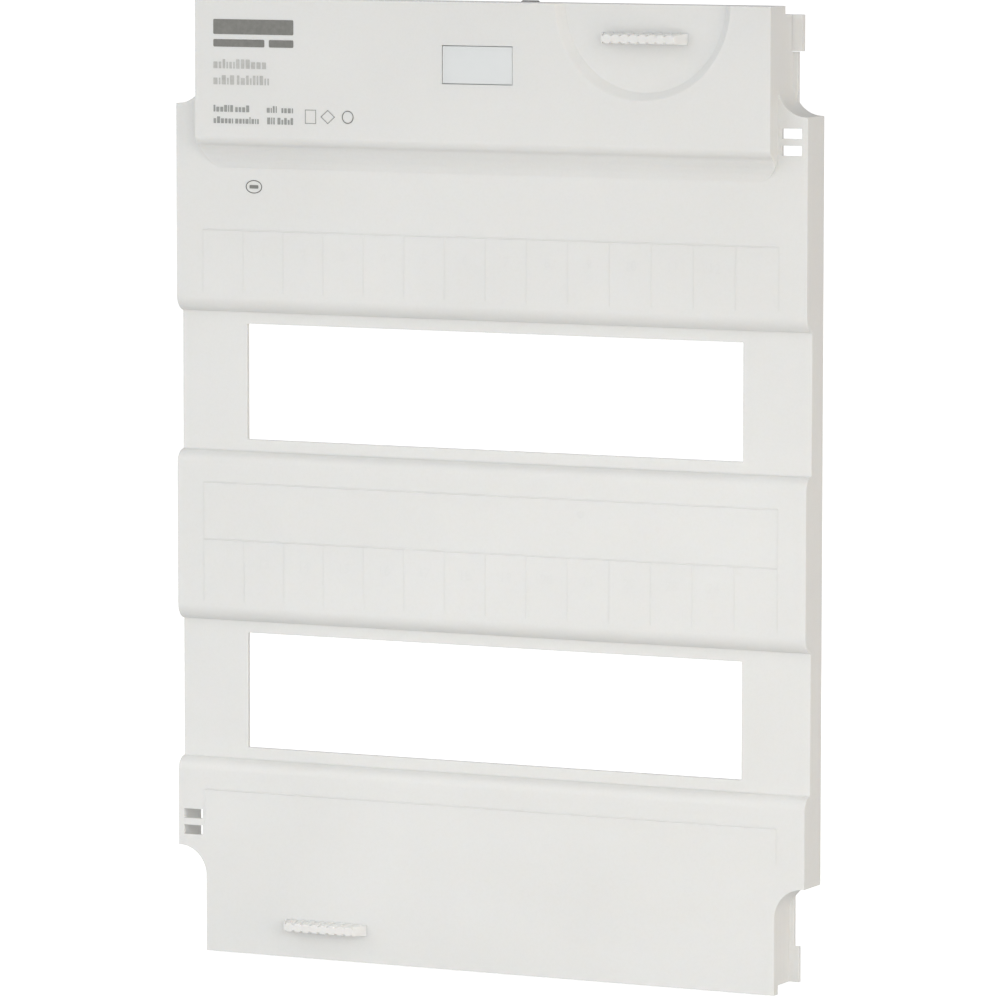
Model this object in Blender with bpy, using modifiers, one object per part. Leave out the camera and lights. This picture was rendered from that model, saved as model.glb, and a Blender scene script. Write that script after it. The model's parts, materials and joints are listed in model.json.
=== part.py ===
"""Front cover of a flush-mounted breaker panel with two rows of twelve modules.

X is right, Y is back towards the wall and Z is up. Y = 0 is the rear rim's plane, and Z = 0 is
midway between the two rows of devices. The cover's outline and both latches look the same after
half a turn about the Y axis through the outline's middle.
"""

import math
from collections import namedtuple

import bmesh
import bpy
from mathutils import Matrix, Vector

MM = 0.001

# The moulding: outline from the front, and how far each front face stands before the rear rim.
HALF_WIDTH = 138.25 * MM
TOP = 216.75 * MM
BOTTOM = -169.25 * MM
TURN_CENTRE = (TOP + BOTTOM) / 2
WALL = 1.8 * MM
BAY_DEPTH = 10.8 * MM
BAND_DEPTH = 16.0 * MM
BOX_DEPTH = 23.5 * MM
PAST = 5.0 * MM

# Device rows: a DIN module is 18 mm wide, and a row's opening is a little wider than its modules.
ROW_PITCH = 125.0 * MM
MODULE_WIDTH = 18.0 * MM
MODULES_PER_ROW = 12
CUT_OUT_WIDTH = MODULES_PER_ROW * MODULE_WIDTH + 2.0 * MM
CUT_OUT_HEIGHT = 46.6 * MM
BAY_HEIGHT = 56.0 * MM
ROW_HEIGHTS = (ROW_PITCH / 2, -ROW_PITCH / 2)

# Corner notches, and the rear part of the end walls, which is set back.
NOTCH_X = 125.6 * MM
NOTCH_HEIGHT = 42.6 * MM
NOTCH_RADIUS = 12.0 * MM
REBATE_STEP = 3.55 * MM
TOP_REBATE_DEPTH = 9.2 * MM
BOTTOM_REBATE_DEPTH = 12.0 * MM

# The turn from a band down to the bay below it, which meets the bay's face a little before it is level.
BAND_TURN_RADIUS = 6.5 * MM

# Raised box at the top. Its lower side turns back in a tight arc, then runs out in a wide one.
BOX_SLOPE_BASE = 147.6 * MM
BOX_TURN_RADIUS = 4.2 * MM
BOX_RUN_OUT_RADIUS = 13.2 * MM
BOX_CORNER_RADIUS = 10.0 * MM

# Rear flanges beside the notches, and the lugs that hook behind the panel's frame.
FLANGE_X = 127.8 * MM
FLANGE_THICKNESS = 1.5 * MM
LUG_X = 130.0 * MM
LUG_HEIGHT = 14.2 * MM
LUG_THICKNESS = 1.6 * MM

# Seal eyelets: two slots with a bar between them.
SEAL_SLOT_X = (127.3 * MM, 135.7 * MM)
SEAL_SLOT_HEIGHT = 3.9 * MM
SEAL_SLOT_PITCH = 6.6 * MM
SEAL_CENTRE_Z = 164.4 * MM

# Label window in the top box.
WINDOW_CENTRE_Z = 192.0 * MM
WINDOW_WIDTH = 30.9 * MM
WINDOW_HEIGHT = 15.3 * MM
POCKET_LIP = 1.85 * MM
POCKET_WALL = 1.8 * MM
POCKET_DEPTH = 6.5 * MM
PANE_THICKNESS = 1.0 * MM
CARD_THICKNESS = 0.4 * MM
RETAINER_THICKNESS = 1.2 * MM
SNAP_REACH = 0.7 * MM

# Half-round finger recess around the top latch.
LATCH_X = 71.1 * MM
RECESS_RADIUS = 37.4 * MM
RECESS_DEPTH = 3.0 * MM

# Latches, in a latch's own frame: X towards the bolt's tip, Y back from the floor under the grip.
LATCH_Z = 203.5 * MM
TRAVEL = 5.0 * MM
RUNNING_GAP = 0.3 * MM
SEAT_GAP = 0.1 * MM
GRIP_BASE = (36.7 * MM, 4.7 * MM)
GRIP_TIP = (31.7 * MM, 3.7 * MM)
GRIP_HEIGHT = 7.0 * MM
FLUTES = 8
FLUTE_PITCH = 4.18 * MM
FLUTE_DEPTH = 0.6 * MM
BLADE_HALF_LENGTH = 9.0 * MM
BLADE_HALF_THICKNESS = 1.2 * MM
BARB_HALF_LENGTH = 6.0 * MM
BARB_HEIGHT = 1.2 * MM
BAR_X = (-22.0 * MM, 46.0 * MM)
BAR_Z = (-6.9 * MM, 2.5 * MM)
BAR_THICKNESS = 5.0 * MM
ARM_X = 36.0 * MM
ARM_Z = (-4.5 * MM, 2.5 * MM)
BOLT_THICKNESS = 2.6 * MM
BOLT_INNER_TOP = 7.2 * MM
BOLT_TIP_X = 50.0 * MM

# Guide plates and their self-tapping screws.
GUIDE_X = (-19.5 * MM, 26.0 * MM)
GUIDE_WIDTH = 8.0 * MM
GUIDE_Z = (-12.4 * MM, 7.3 * MM)
GUIDE_THICKNESS = 1.6 * MM
BOSS_Z = (-9.5 * MM, 5.2 * MM)
BOSS_RADIUS = 2.2 * MM
PILOT_RADIUS = 1.2 * MM
PILOT_DEPTH = 4.8 * MM
SCREW_RADIUS = 1.05 * MM
SCREW_LENGTH = 6.0 * MM
SCREW_HEAD_RADIUS = 2.1 * MM
SCREW_HEAD_HEIGHT = 1.4 * MM

# Return spring between a fixed seat and the slider's end.
SEAT_X = (-50.0 * MM, -45.5 * MM)
SPRING_Z = -2.2 * MM
SPRING_RADIUS = 2.15 * MM
SPRING_WIRE_RADIUS = 0.3 * MM
SPRING_TURNS = 9
SPIGOT_RADIUS = 1.3 * MM
SPIGOT_LENGTH = 4.0 * MM

# Spring-steel clips that centre the cover in its frame, pushed over the set-back end walls.
CLIP_X = (10.6 * MM, 17.1 * MM)
CLIP_THICKNESS = 0.5 * MM
CLIP_PEAK = 217.15 * MM

# Stiffening ribs and rest posts on the back of the front wall.
RIB_THICKNESS = 1.2 * MM
SIDE_RIB_X = (117.0 * MM, 126.0 * MM)
SIDE_RIB_HALF_LENGTH = 95.0 * MM
SIDE_RIB_REAR = 3.0 * MM
CROSS_RIB_Z = (118.0 * MM, 0.0, -118.0 * MM)
CROSS_RIB_REAR = 10.0 * MM
POST_X = (-96.0 * MM, 0.0, 96.0 * MM)
POST_RADIUS = 5.0 * MM

COVER_WHITE = (0.755, 0.755, 0.735, 1.0)
LATCH_WHITE = (0.770, 0.770, 0.745, 1.0)
CARD_WHITE = (0.820, 0.840, 0.850, 1.0)
CLEAR = (0.900, 0.930, 0.940, 1.0)
SPRING_STEEL = (0.160, 0.160, 0.155, 1.0)
ZINC = (0.550, 0.560, 0.570, 1.0)

Latch = namedtuple("Latch", "name frame floor_depth")


# ---------------------------------------------------------------- scene and mesh helpers


def clear_scene():
    for obj in list(bpy.data.objects):
        bpy.data.objects.remove(obj)


def new_collection(name):
    collection = bpy.data.collections.new(name)
    bpy.context.scene.collection.children.link(collection)
    return collection


def new_material(name, colour, roughness, metallic=0.0, transmission=0.0):
    material = bpy.data.materials.new(name)
    material.use_nodes = True
    shader = material.node_tree.nodes["Principled BSDF"]
    shader.inputs["Base Color"].default_value = colour
    shader.inputs["Roughness"].default_value = roughness
    shader.inputs["Metallic"].default_value = metallic
    shader.inputs["Transmission Weight"].default_value = transmission
    material.diffuse_color = colour
    return material


def add_part(name, mesh, material, parent=None):
    mesh.name = name
    mesh.materials.clear()
    mesh.materials.append(material)
    mesh.shade_smooth()
    mesh.set_sharp_from_angle(angle=math.radians(35))
    obj = bpy.data.objects.new(name, mesh)
    obj.parent = parent
    PARTS.objects.link(obj)
    return obj


def add_tool(name, mesh, collection, frame=Matrix()):
    """A solid that is cut from, or joined to, a part."""
    obj = bpy.data.objects.new(name, mesh)
    obj.matrix_world = frame
    obj.display_type = "WIRE"
    obj.hide_render = True
    collection.objects.link(obj)
    return obj


def boolean(obj, operation, operand):
    modifier = obj.modifiers.new(operation.title(), "BOOLEAN")
    modifier.operation = operation
    modifier.solver = "EXACT"
    if isinstance(operand, bpy.types.Collection):
        modifier.operand_type = "COLLECTION"
        modifier.collection = operand
    else:
        modifier.object = operand
    return modifier


def box_mesh(low, high):
    middle = (Vector(low) + Vector(high)) / 2
    size = Vector(high) - Vector(low)
    shape = bmesh.new()
    bmesh.ops.create_cube(shape, size=1.0, matrix=Matrix.Translation(middle) @ Matrix.Diagonal(size).to_4x4())
    return finish_mesh(shape)


def cone_mesh(start, axis, length, start_radius, end_radius, segments=20):
    """A cylinder or a cone from start along axis."""
    direction = Vector(axis).normalized()
    turn = direction.to_track_quat("Z", "Y").to_matrix().to_4x4()
    middle = Vector(start) + direction * (length / 2)
    shape = bmesh.new()
    bmesh.ops.create_cone(
        shape,
        cap_ends=True,
        segments=segments,
        radius1=start_radius,
        radius2=end_radius,
        depth=length,
        matrix=Matrix.Translation(middle) @ turn,
    )
    return finish_mesh(shape)


def finish_mesh(shape):
    mesh = bpy.data.meshes.new("shape")
    shape.to_mesh(mesh)
    shape.free()
    return mesh


def prism_mesh(outline, low, high, plane):
    """A flat outline given a thickness: plane XZ runs along Y, plane YZ runs along X."""
    curve = bpy.data.curves.new("outline", "CURVE")
    curve.dimensions = "2D"
    curve.fill_mode = "BOTH"
    curve.extrude = (high - low) / 2
    spline = curve.splines.new("POLY")
    spline.points.add(len(outline) - 1)
    for point, (across, up) in zip(spline.points, outline):
        point.co = (across, up, 0.0, 1.0)
    spline.use_cyclic_u = True
    mesh = mesh_of_curve(curve)
    if plane == "XZ":
        axes = ((1, 0, 0), (0, 0, -1), (0, 1, 0))
        offset = Vector((0.0, (low + high) / 2, 0.0))
    else:
        axes = ((0, 0, 1), (1, 0, 0), (0, 1, 0))
        offset = Vector(((low + high) / 2, 0.0, 0.0))
    mesh.transform(Matrix.Translation(offset) @ Matrix(axes).to_4x4())
    return mesh


def mesh_of_curve(curve):
    """The curve's filled, capped mesh, with its caps welded to its sides."""
    guide = bpy.data.objects.new("guide", curve)
    bpy.context.scene.collection.objects.link(guide)
    graph = bpy.context.evaluated_depsgraph_get()
    mesh = bpy.data.meshes.new_from_object(guide.evaluated_get(graph))
    bpy.data.objects.remove(guide)
    shape = bmesh.new()
    shape.from_mesh(mesh)
    bmesh.ops.remove_doubles(shape, verts=shape.verts, dist=1e-6)
    bmesh.ops.recalc_face_normals(shape, faces=shape.faces)
    shape.to_mesh(mesh)
    shape.free()
    return mesh


def arc(centre, radius, start, end, steps):
    """Points on an arc, with its angles in degrees."""
    angles = [math.radians(start + (end - start) * i / steps) for i in range(steps + 1)]
    return [(centre[0] + radius * math.cos(a), centre[1] + radius * math.sin(a)) for a in angles]


def joined(name, meshes, material, parent=None):
    """A part made by joining several overlapping solids into one body."""
    obj = add_part(name, meshes[0], material, parent)
    frame = parent.matrix_world if parent else Matrix()
    for number, mesh in enumerate(meshes[1:], start=1):
        boolean(obj, "UNION", add_tool(f"{name}_join_{number}", mesh, TOOLS, frame))
    return obj


# ---------------------------------------------------------------- cover outlines


def side_profile(inset, rear):
    """Y and Z outline of the bands and bays, drawn from the rear over the top and down the front."""
    round_radius = BAND_DEPTH - BAY_DEPTH
    turn = math.acos(1 - round_radius / BAND_TURN_RADIUS)
    turn_height = BAND_TURN_RADIUS * math.sin(turn)
    turn_end = 270 if inset else 180 + math.degrees(turn)
    ledge = BOTTOM_REBATE_DEPTH + inset
    top_ledge = TOP_REBATE_DEPTH + inset
    points = [(rear, TOP - REBATE_STEP - inset), (-top_ledge, TOP - REBATE_STEP - inset)]
    points += [(-top_ledge, TOP - inset), (inset - BAND_DEPTH, TOP - inset)]
    for row in ROW_HEIGHTS:
        upper = row + BAY_HEIGHT / 2
        lower = row - BAY_HEIGHT / 2
        centre = (BAND_TURN_RADIUS - BAND_DEPTH, upper + turn_height)
        points += arc(centre, BAND_TURN_RADIUS - inset, 180, turn_end, 6)
        points += [(inset - BAY_DEPTH, points[-1][1]), (inset - BAY_DEPTH, lower - inset)]
        points += arc((-BAY_DEPTH, lower - round_radius), round_radius - inset, 90, 180, 6)
    points += [(inset - BAND_DEPTH, BOTTOM + inset), (-ledge, BOTTOM + inset)]
    points += [(-ledge, BOTTOM + REBATE_STEP + inset), (rear, BOTTOM + REBATE_STEP + inset)]
    return without_repeats(points)


def without_repeats(points):
    kept = [points[0]]
    for point in points[1:]:
        if (Vector(point) - Vector(kept[-1])).length > 1e-6:
            kept.append(point)
    return kept


def plan_outline(inset):
    """X and Z outline with the four corner notches, running past the top and the bottom."""
    notch_top = TOP - NOTCH_HEIGHT
    notch_bottom = BOTTOM + NOTCH_HEIGHT
    centre_x = NOTCH_X + NOTCH_RADIUS
    radius = NOTCH_RADIUS + inset
    right = [(NOTCH_X - inset, BOTTOM - PAST)]
    right += arc((centre_x, notch_bottom - NOTCH_RADIUS), radius, 180, 90, 8)
    right += [(HALF_WIDTH - inset, notch_bottom + inset), (HALF_WIDTH - inset, notch_top - inset)]
    right += arc((centre_x, notch_top + NOTCH_RADIUS), radius, 270, 180, 8)
    right += [(NOTCH_X - inset, TOP + PAST)]
    right = without_repeats(right)
    if inset > HALF_WIDTH - centre_x:
        right = [point for point in right if point[0] <= HALF_WIDTH - inset + 1e-7]
    return right + [(-x, z) for x, z in reversed(right)]


def box_profile(inset, rear):
    """Y and Z outline of the raised box, whose slope turns one way and then the other."""
    both = BOX_TURN_RADIUS + BOX_RUN_OUT_RADIUS
    turn = math.acos(1 - (BOX_DEPTH - BAND_DEPTH) / both)
    slope_top = BOX_SLOPE_BASE + both * math.sin(turn)
    degrees = math.degrees(turn)
    points = [(rear, TOP - inset), (inset - BOX_DEPTH, TOP - inset)]
    points += arc((BOX_TURN_RADIUS - BOX_DEPTH, slope_top), BOX_TURN_RADIUS - inset, 180, 180 + degrees, 5)
    centre = (-BAND_DEPTH - BOX_RUN_OUT_RADIUS, BOX_SLOPE_BASE)
    points += arc(centre, BOX_RUN_OUT_RADIUS + inset, degrees, 0, 6)
    points += [(rear, BOX_SLOPE_BASE)]
    return without_repeats(points)


def box_plan(inset):
    """X and Z outline of the raised box. The round lower corners fade into the run-out."""
    low = BOX_SLOPE_BASE + 0.6 * MM
    radius = BOX_CORNER_RADIUS
    across = NOTCH_X - radius
    points = [(across - 3.0 * MM, low - 1.0 * MM + inset)]
    points += arc((across, low + radius), radius - inset, 270, 360, 6)
    points += [(NOTCH_X - inset, TOP + PAST)]
    return points + [(-x, z) for x, z in reversed(points)]


# ---------------------------------------------------------------- cover


def cover_shell(material):
    """Outer shape less its hollow: bands, bays, notches, rebates and the raised box."""
    wide = HALF_WIDTH + 2 * PAST
    panel = add_part("cover_panel", prism_mesh(side_profile(0.0, 0.0), -wide, wide, "YZ"), material)
    plan = prism_mesh(plan_outline(0.0), -BOX_DEPTH - PAST, PAST, "XZ")
    boolean(panel, "INTERSECT", add_tool("cover_plan", plan, TOOLS))

    raised = add_tool("raised_box", prism_mesh(box_profile(0.0, -BAND_DEPTH + 1.0 * MM), -wide, wide, "YZ"), TOOLS)
    raised_plan = prism_mesh(box_plan(0.0), -BOX_DEPTH - PAST, PAST, "XZ")
    boolean(raised, "INTERSECT", add_tool("raised_box_plan", raised_plan, TOOLS))
    boolean(panel, "UNION", raised)

    hollow = add_tool("cover_hollow", prism_mesh(side_profile(WALL, PAST), -wide, wide, "YZ"), TOOLS)
    hollow_plan = prism_mesh(plan_outline(WALL), -BOX_DEPTH - PAST, 2 * PAST, "XZ")
    boolean(hollow, "INTERSECT", add_tool("cover_hollow_plan", hollow_plan, TOOLS))
    boolean(panel, "DIFFERENCE", hollow)

    rear = WALL - BAND_DEPTH + 1.5 * MM
    box_hollow = add_tool("box_hollow", prism_mesh(box_profile(WALL, rear), -wide, wide, "YZ"), TOOLS)
    box_hollow_plan = prism_mesh(box_plan(WALL), -BOX_DEPTH - PAST, 2 * PAST, "XZ")
    boolean(box_hollow, "INTERSECT", add_tool("box_hollow_plan", box_hollow_plan, TOOLS))
    boolean(panel, "DIFFERENCE", box_hollow)
    return panel


def half_turn():
    """Half a turn about the Y axis through the outline's middle."""
    centre = Matrix.Translation((0.0, 0.0, TURN_CENTRE))
    return centre @ Matrix.Rotation(math.pi, 4, "Y") @ centre.inverted()


def add_corner_lugs():
    """Rear flanges on all four notches, and fixed lugs where there is no latch bolt."""
    wall_inner = NOTCH_X - 1.0 * MM
    arc_side = TOP - NOTCH_HEIGHT + 2.0 * MM
    lug_top = TOP - REBATE_STEP
    lug_bottom = lug_top - LUG_HEIGHT
    for turn_name, turn in (("upper", Matrix()), ("lower", half_turn())):
        for side, high in ((-1, lug_top), (1, lug_bottom - RUNNING_GAP)):
            x_pair = sorted((side * wall_inner, side * FLANGE_X))
            flange = box_mesh((x_pair[0], -FLANGE_THICKNESS, arc_side), (x_pair[1], 0.0, high))
            add_tool(f"{turn_name}_flange_{side}", flange, ADDED, turn)
        lug = box_mesh((-LUG_X, -LUG_THICKNESS, lug_bottom), (-wall_inner, 0.0, lug_top))
        add_tool(f"{turn_name}_fixed_lug", lug, ADDED, turn)


def add_ribs_and_posts():
    inner_band = 1.0 * MM - BAND_DEPTH
    inner_bay = 1.0 * MM - BAY_DEPTH
    half = RIB_THICKNESS / 2
    for x in SIDE_RIB_X:
        for side in (-1, 1):
            centre = side * x
            low = (centre - half, inner_bay, -SIDE_RIB_HALF_LENGTH)
            high = (centre + half, -SIDE_RIB_REAR, SIDE_RIB_HALF_LENGTH)
            add_tool(f"side_rib_{centre:.4f}", box_mesh(low, high), ADDED)
    for z in CROSS_RIB_Z:
        low = (-SIDE_RIB_X[0], inner_band, z - half)
        high = (SIDE_RIB_X[0], -CROSS_RIB_REAR, z + half)
        add_tool(f"cross_rib_{z:.4f}", box_mesh(low, high), ADDED)
    for x in POST_X:
        post = cone_mesh((x, inner_band, 0.0), (0, 1, 0), -inner_band, POST_RADIUS, POST_RADIUS)
        add_tool(f"rest_post_{x:.4f}", post, ADDED)


def add_window_pocket():
    """Walls round the window on the inside, with two snaps that hold the retainer."""
    front = WALL - BOX_DEPTH
    across = WINDOW_WIDTH / 2 + POCKET_LIP
    up = WINDOW_HEIGHT / 2 + POCKET_LIP
    z = WINDOW_CENTRE_Z
    thick = POCKET_WALL
    rear = POCKET_DEPTH - BOX_DEPTH
    near = front - 0.5 * MM
    for side in (-1, 1):
        x_pair = sorted((side * across, side * (across + thick)))
        upright = box_mesh((x_pair[0], near, z - up - thick), (x_pair[1], rear, z + up + thick))
        add_tool(f"pocket_side_{side}", upright, ADDED)
        z_pair = sorted((z + side * up, z + side * (up + thick)))
        level = box_mesh((-across - thick, near, z_pair[0]), (across + thick, rear, z_pair[1]))
        add_tool(f"pocket_level_{side}", level, ADDED)
        snap_pair = sorted((side * (across - SNAP_REACH), side * (across + thick / 2)))
        snap = box_mesh((snap_pair[0], rear - 0.9 * MM, z - 3.0 * MM), (snap_pair[1], rear, z + 3.0 * MM))
        add_tool(f"pocket_snap_{side}", snap, ADDED)


def add_recess_floor():
    """The front wall is carried back behind the finger recess, so that it keeps its thickness."""
    radius = RECESS_RADIUS + WALL
    outline = arc((LATCH_X, TOP - 1.0 * MM), radius, 180, 360, 24)
    low = WALL - BOX_DEPTH - 0.5 * MM
    high = WALL + RECESS_DEPTH - BOX_DEPTH
    add_tool("recess_floor", prism_mesh(outline, low, high, "XZ"), ADDED)


def add_latch_seats(latch):
    """Screw bosses and a spring seat on the wall behind a latch."""
    wall_inner = 1.2 * MM
    for x in GUIDE_X:
        for z in BOSS_Z:
            length = boss_end() - wall_inner
            boss = cone_mesh((x, wall_inner, z), (0, 1, 0), length, BOSS_RADIUS, BOSS_RADIUS)
            add_tool(f"{latch.name}_boss_{x:.4f}_{z:.4f}", boss, ADDED, latch.frame)
    front = WALL - BOX_DEPTH + latch.floor_depth - 0.5 * MM
    if latch.floor_depth == BAND_DEPTH:
        front = wall_inner
    seat = box_mesh((SEAT_X[0], front, BAR_Z[0]), (SEAT_X[1], bar_rear(), BAR_Z[1]))
    add_tool(f"{latch.name}_seat", seat, ADDED, latch.frame)
    start = (SEAT_X[1] - 1.0 * MM, spring_y(), SPRING_Z)
    spigot = cone_mesh(start, (1, 0, 0), SPIGOT_LENGTH + 1.0 * MM, SPIGOT_RADIUS, SPIGOT_RADIUS, 12)
    add_tool(f"{latch.name}_seat_spigot", spigot, ADDED, latch.frame)


def cut_rows():
    half_width = CUT_OUT_WIDTH / 2
    half_height = CUT_OUT_HEIGHT / 2
    for row in ROW_HEIGHTS:
        low = (-half_width, -BOX_DEPTH, row - half_height)
        high = (half_width, 0.0, row + half_height)
        add_tool(f"device_cut_out_{row:.4f}", box_mesh(low, high), CUT)


def cut_seal_slots():
    for turn_name, turn in (("upper", Matrix()), ("lower", half_turn())):
        for side in (-1, 1):
            z = SEAL_CENTRE_Z + side * SEAL_SLOT_PITCH / 2
            low = (SEAL_SLOT_X[0], -BAND_DEPTH - PAST, z - SEAL_SLOT_HEIGHT / 2)
            high = (SEAL_SLOT_X[1], -BAND_DEPTH + PAST, z + SEAL_SLOT_HEIGHT / 2)
            add_tool(f"{turn_name}_seal_slot_{side}", box_mesh(low, high), CUT, turn)


def cut_window():
    half_width = WINDOW_WIDTH / 2
    half_height = WINDOW_HEIGHT / 2
    low = (-half_width, -BOX_DEPTH - PAST, WINDOW_CENTRE_Z - half_height)
    high = (half_width, WALL - BOX_DEPTH + 1.0 * MM, WINDOW_CENTRE_Z + half_height)
    add_tool("window_opening", box_mesh(low, high), CUT)


def cut_recess():
    """A cone with sides at 45 degrees, run on past the front face."""
    extra = 1.0 * MM
    start = (LATCH_X, -BOX_DEPTH - extra, TOP)
    start_radius = RECESS_RADIUS + extra
    end_radius = RECESS_RADIUS - RECESS_DEPTH
    length = RECESS_DEPTH + extra
    add_tool("finger_recess", cone_mesh(start, (0, 1, 0), length, start_radius, end_radius, 64), CUT)


def cut_latch_openings(latch):
    """The blade's slot, the screws' pilot holes and the way out for the bolt."""
    slot_x = BLADE_HALF_LENGTH + RUNNING_GAP
    slot_z = BLADE_HALF_THICKNESS + RUNNING_GAP
    slot = box_mesh((-slot_x - TRAVEL, -PAST, -slot_z), (slot_x, WALL + 1.0 * MM, slot_z))
    add_tool(f"{latch.name}_slot", slot, CUT, latch.frame)
    for x in GUIDE_X:
        for z in BOSS_Z:
            start = (x, boss_end() - PILOT_DEPTH, z)
            pilot = cone_mesh(start, (0, 1, 0), PILOT_DEPTH + PAST, PILOT_RADIUS, PILOT_RADIUS, 12)
            add_tool(f"{latch.name}_pilot_{x:.4f}_{z:.4f}", pilot, CUT, latch.frame)
    front = latch.floor_depth - BOLT_THICKNESS - RUNNING_GAP
    low = (BOLT_TIP_X - TRAVEL - RUNNING_GAP, front, ARM_Z[0] - RUNNING_GAP)
    high = (LUG_X - LATCH_X + PAST, latch.floor_depth + PAST, bolt_top() + PAST)
    add_tool(f"{latch.name}_bolt_way", box_mesh(low, high), CUT, latch.frame)


def cut_clip_notches():
    for turn_name, turn in (("upper", Matrix()), ("lower", half_turn())):
        z = TOP - REBATE_STEP
        low = (CLIP_X[0] - RUNNING_GAP, -1.2 * MM, z - WALL - 1.0 * MM)
        high = (CLIP_X[1] + RUNNING_GAP, PAST, z + 1.0 * MM)
        add_tool(f"{turn_name}_clip_notch", box_mesh(low, high), CUT, turn)


# ---------------------------------------------------------------- label window


def pocket_layer(low_y, thickness, width_less, height_less):
    """A flat piece that lies in the window's pocket."""
    across = WINDOW_WIDTH / 2 + POCKET_LIP - RUNNING_GAP - width_less
    up = WINDOW_HEIGHT / 2 + POCKET_LIP - RUNNING_GAP - height_less
    z = WINDOW_CENTRE_Z
    return box_mesh((-across, low_y, z - up), (across, low_y + thickness, z + up))


def build_window(clear, card, white):
    """The pane with its flange, the card behind it, and the plate that holds both."""
    half_width = WINDOW_WIDTH / 2 - RUNNING_GAP
    half_height = WINDOW_HEIGHT / 2 - RUNNING_GAP
    flange_front = WALL - BOX_DEPTH + SEAT_GAP
    flange = pocket_layer(flange_front, PANE_THICKNESS, 0.0, 0.0)
    face_low = (-half_width, SEAT_GAP - BOX_DEPTH, WINDOW_CENTRE_Z - half_height)
    face_high = (half_width, flange_front + PANE_THICKNESS / 2, WINDOW_CENTRE_Z + half_height)
    joined("label_window", [box_mesh(face_low, face_high), flange], clear)
    card_front = flange_front + PANE_THICKNESS + SEAT_GAP
    add_part("label_card", pocket_layer(card_front, CARD_THICKNESS, 0.3 * MM, 0.3 * MM), card)
    plate_front = card_front + CARD_THICKNESS + SEAT_GAP
    add_part("label_retainer", pocket_layer(plate_front, RETAINER_THICKNESS, 0.0, 0.0), white)


# ---------------------------------------------------------------- latches


def bar_front():
    return WALL + RUNNING_GAP


def bar_rear():
    return bar_front() + BAR_THICKNESS


def boss_end():
    return bar_rear() + RUNNING_GAP - SEAT_GAP


def guide_rear():
    return bar_rear() + RUNNING_GAP + GUIDE_THICKNESS


def spring_y():
    return bar_front() + BAR_THICKNESS / 2


def bolt_top():
    return TOP - REBATE_STEP - LATCH_Z


def fluted_ring(size, depth, y):
    """A long rectangle whose long sides are rows of round pads with sharp grooves between."""
    half_length = size[0] / 2
    steps = FLUTES * 4
    fluted = FLUTES * FLUTE_PITCH / 2
    stretch = min(1.0, (half_length - 0.3 * MM) / fluted)
    top = []
    for i in range(steps + 1):
        x = (-fluted + 2 * fluted * i / steps) * stretch
        wave = abs(math.sin(math.pi * i / 4))
        top.append((x, y, size[1] / 2 - depth * (1 - wave)))
    ends = [(half_length, y, size[1] / 2 - depth), (half_length, y, depth - size[1] / 2)]
    bottom = [(x, y, -z) for x, _, z in reversed(top)]
    left = [(-half_length, y, depth - size[1] / 2), (-half_length, y, size[1] / 2 - depth)]
    return top + ends + bottom + left


def loft_mesh(first, second):
    """Skin between two rings with the same number of points, capped at both ends."""
    shape = bmesh.new()
    rings = [[shape.verts.new(point) for point in ring] for ring in (first, second)]
    count = len(first)
    for i in range(count):
        after = (i + 1) % count
        shape.faces.new((rings[0][i], rings[0][after], rings[1][after], rings[1][i]))
    for ring in rings:
        shape.faces.new(ring)
    bmesh.ops.recalc_face_normals(shape, faces=shape.faces)
    return finish_mesh(shape)


def build_grip(latch, parent, material):
    """Ribbed finger piece with a blade through the wall and barbs behind the slider's bar."""
    base_y = -0.2 * MM
    head = loft_mesh(fluted_ring(GRIP_BASE, FLUTE_DEPTH, base_y), fluted_ring(GRIP_TIP, FLUTE_DEPTH, -GRIP_HEIGHT))
    length = BLADE_HALF_LENGTH
    thick = BLADE_HALF_THICKNESS
    barb_y = bar_rear() + SEAT_GAP
    blade = box_mesh((-length, -2.0 * MM, -thick), (length, barb_y + 0.3 * MM, thick))
    barb_z = thick + 0.7 * MM
    barb = box_mesh((-BARB_HALF_LENGTH, barb_y, -barb_z), (BARB_HALF_LENGTH, barb_y + BARB_HEIGHT, barb_z))
    joined(f"{latch.name}_grip", [head, blade, barb], material, parent)


def build_slider(latch, parent, material):
    """Bar behind the wall, an arm back to the rear rim, and the bolt, all one moulding."""
    rear = latch.floor_depth
    bar = box_mesh((BAR_X[0], bar_front(), BAR_Z[0]), (BAR_X[1], bar_rear(), BAR_Z[1]))
    arm = box_mesh((ARM_X, bar_front() + 1.0 * MM, ARM_Z[0]), (BAR_X[1] - 0.01 * MM, rear, ARM_Z[1] - 0.01 * MM))
    bolt_front = rear - BOLT_THICKNESS
    inner = box_mesh((ARM_X + 0.5 * MM, bolt_front, ARM_Z[0]), (BOLT_TIP_X + 1.0 * MM, rear, BOLT_INNER_TOP))
    tip = box_mesh((BOLT_TIP_X, bolt_front, ARM_Z[0]), (LUG_X - LATCH_X, rear, bolt_top()))
    start = (BAR_X[0] + 1.0 * MM, spring_y(), SPRING_Z)
    spigot = cone_mesh(start, (-1, 0, 0), SPIGOT_LENGTH + 1.0 * MM, SPIGOT_RADIUS, SPIGOT_RADIUS, 12)
    slider = joined(f"{latch.name}_slider", [bar, arm, inner, tip, spigot], material, parent)
    hole_x = BLADE_HALF_LENGTH + SEAT_GAP
    hole_z = BLADE_HALF_THICKNESS + SEAT_GAP
    hole = box_mesh((-hole_x, 0.0, -hole_z), (hole_x, bar_rear() + PAST, hole_z))
    boolean(slider, "DIFFERENCE", add_tool(f"{latch.name}_blade_hole", hole, TOOLS, latch.frame))


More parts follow.
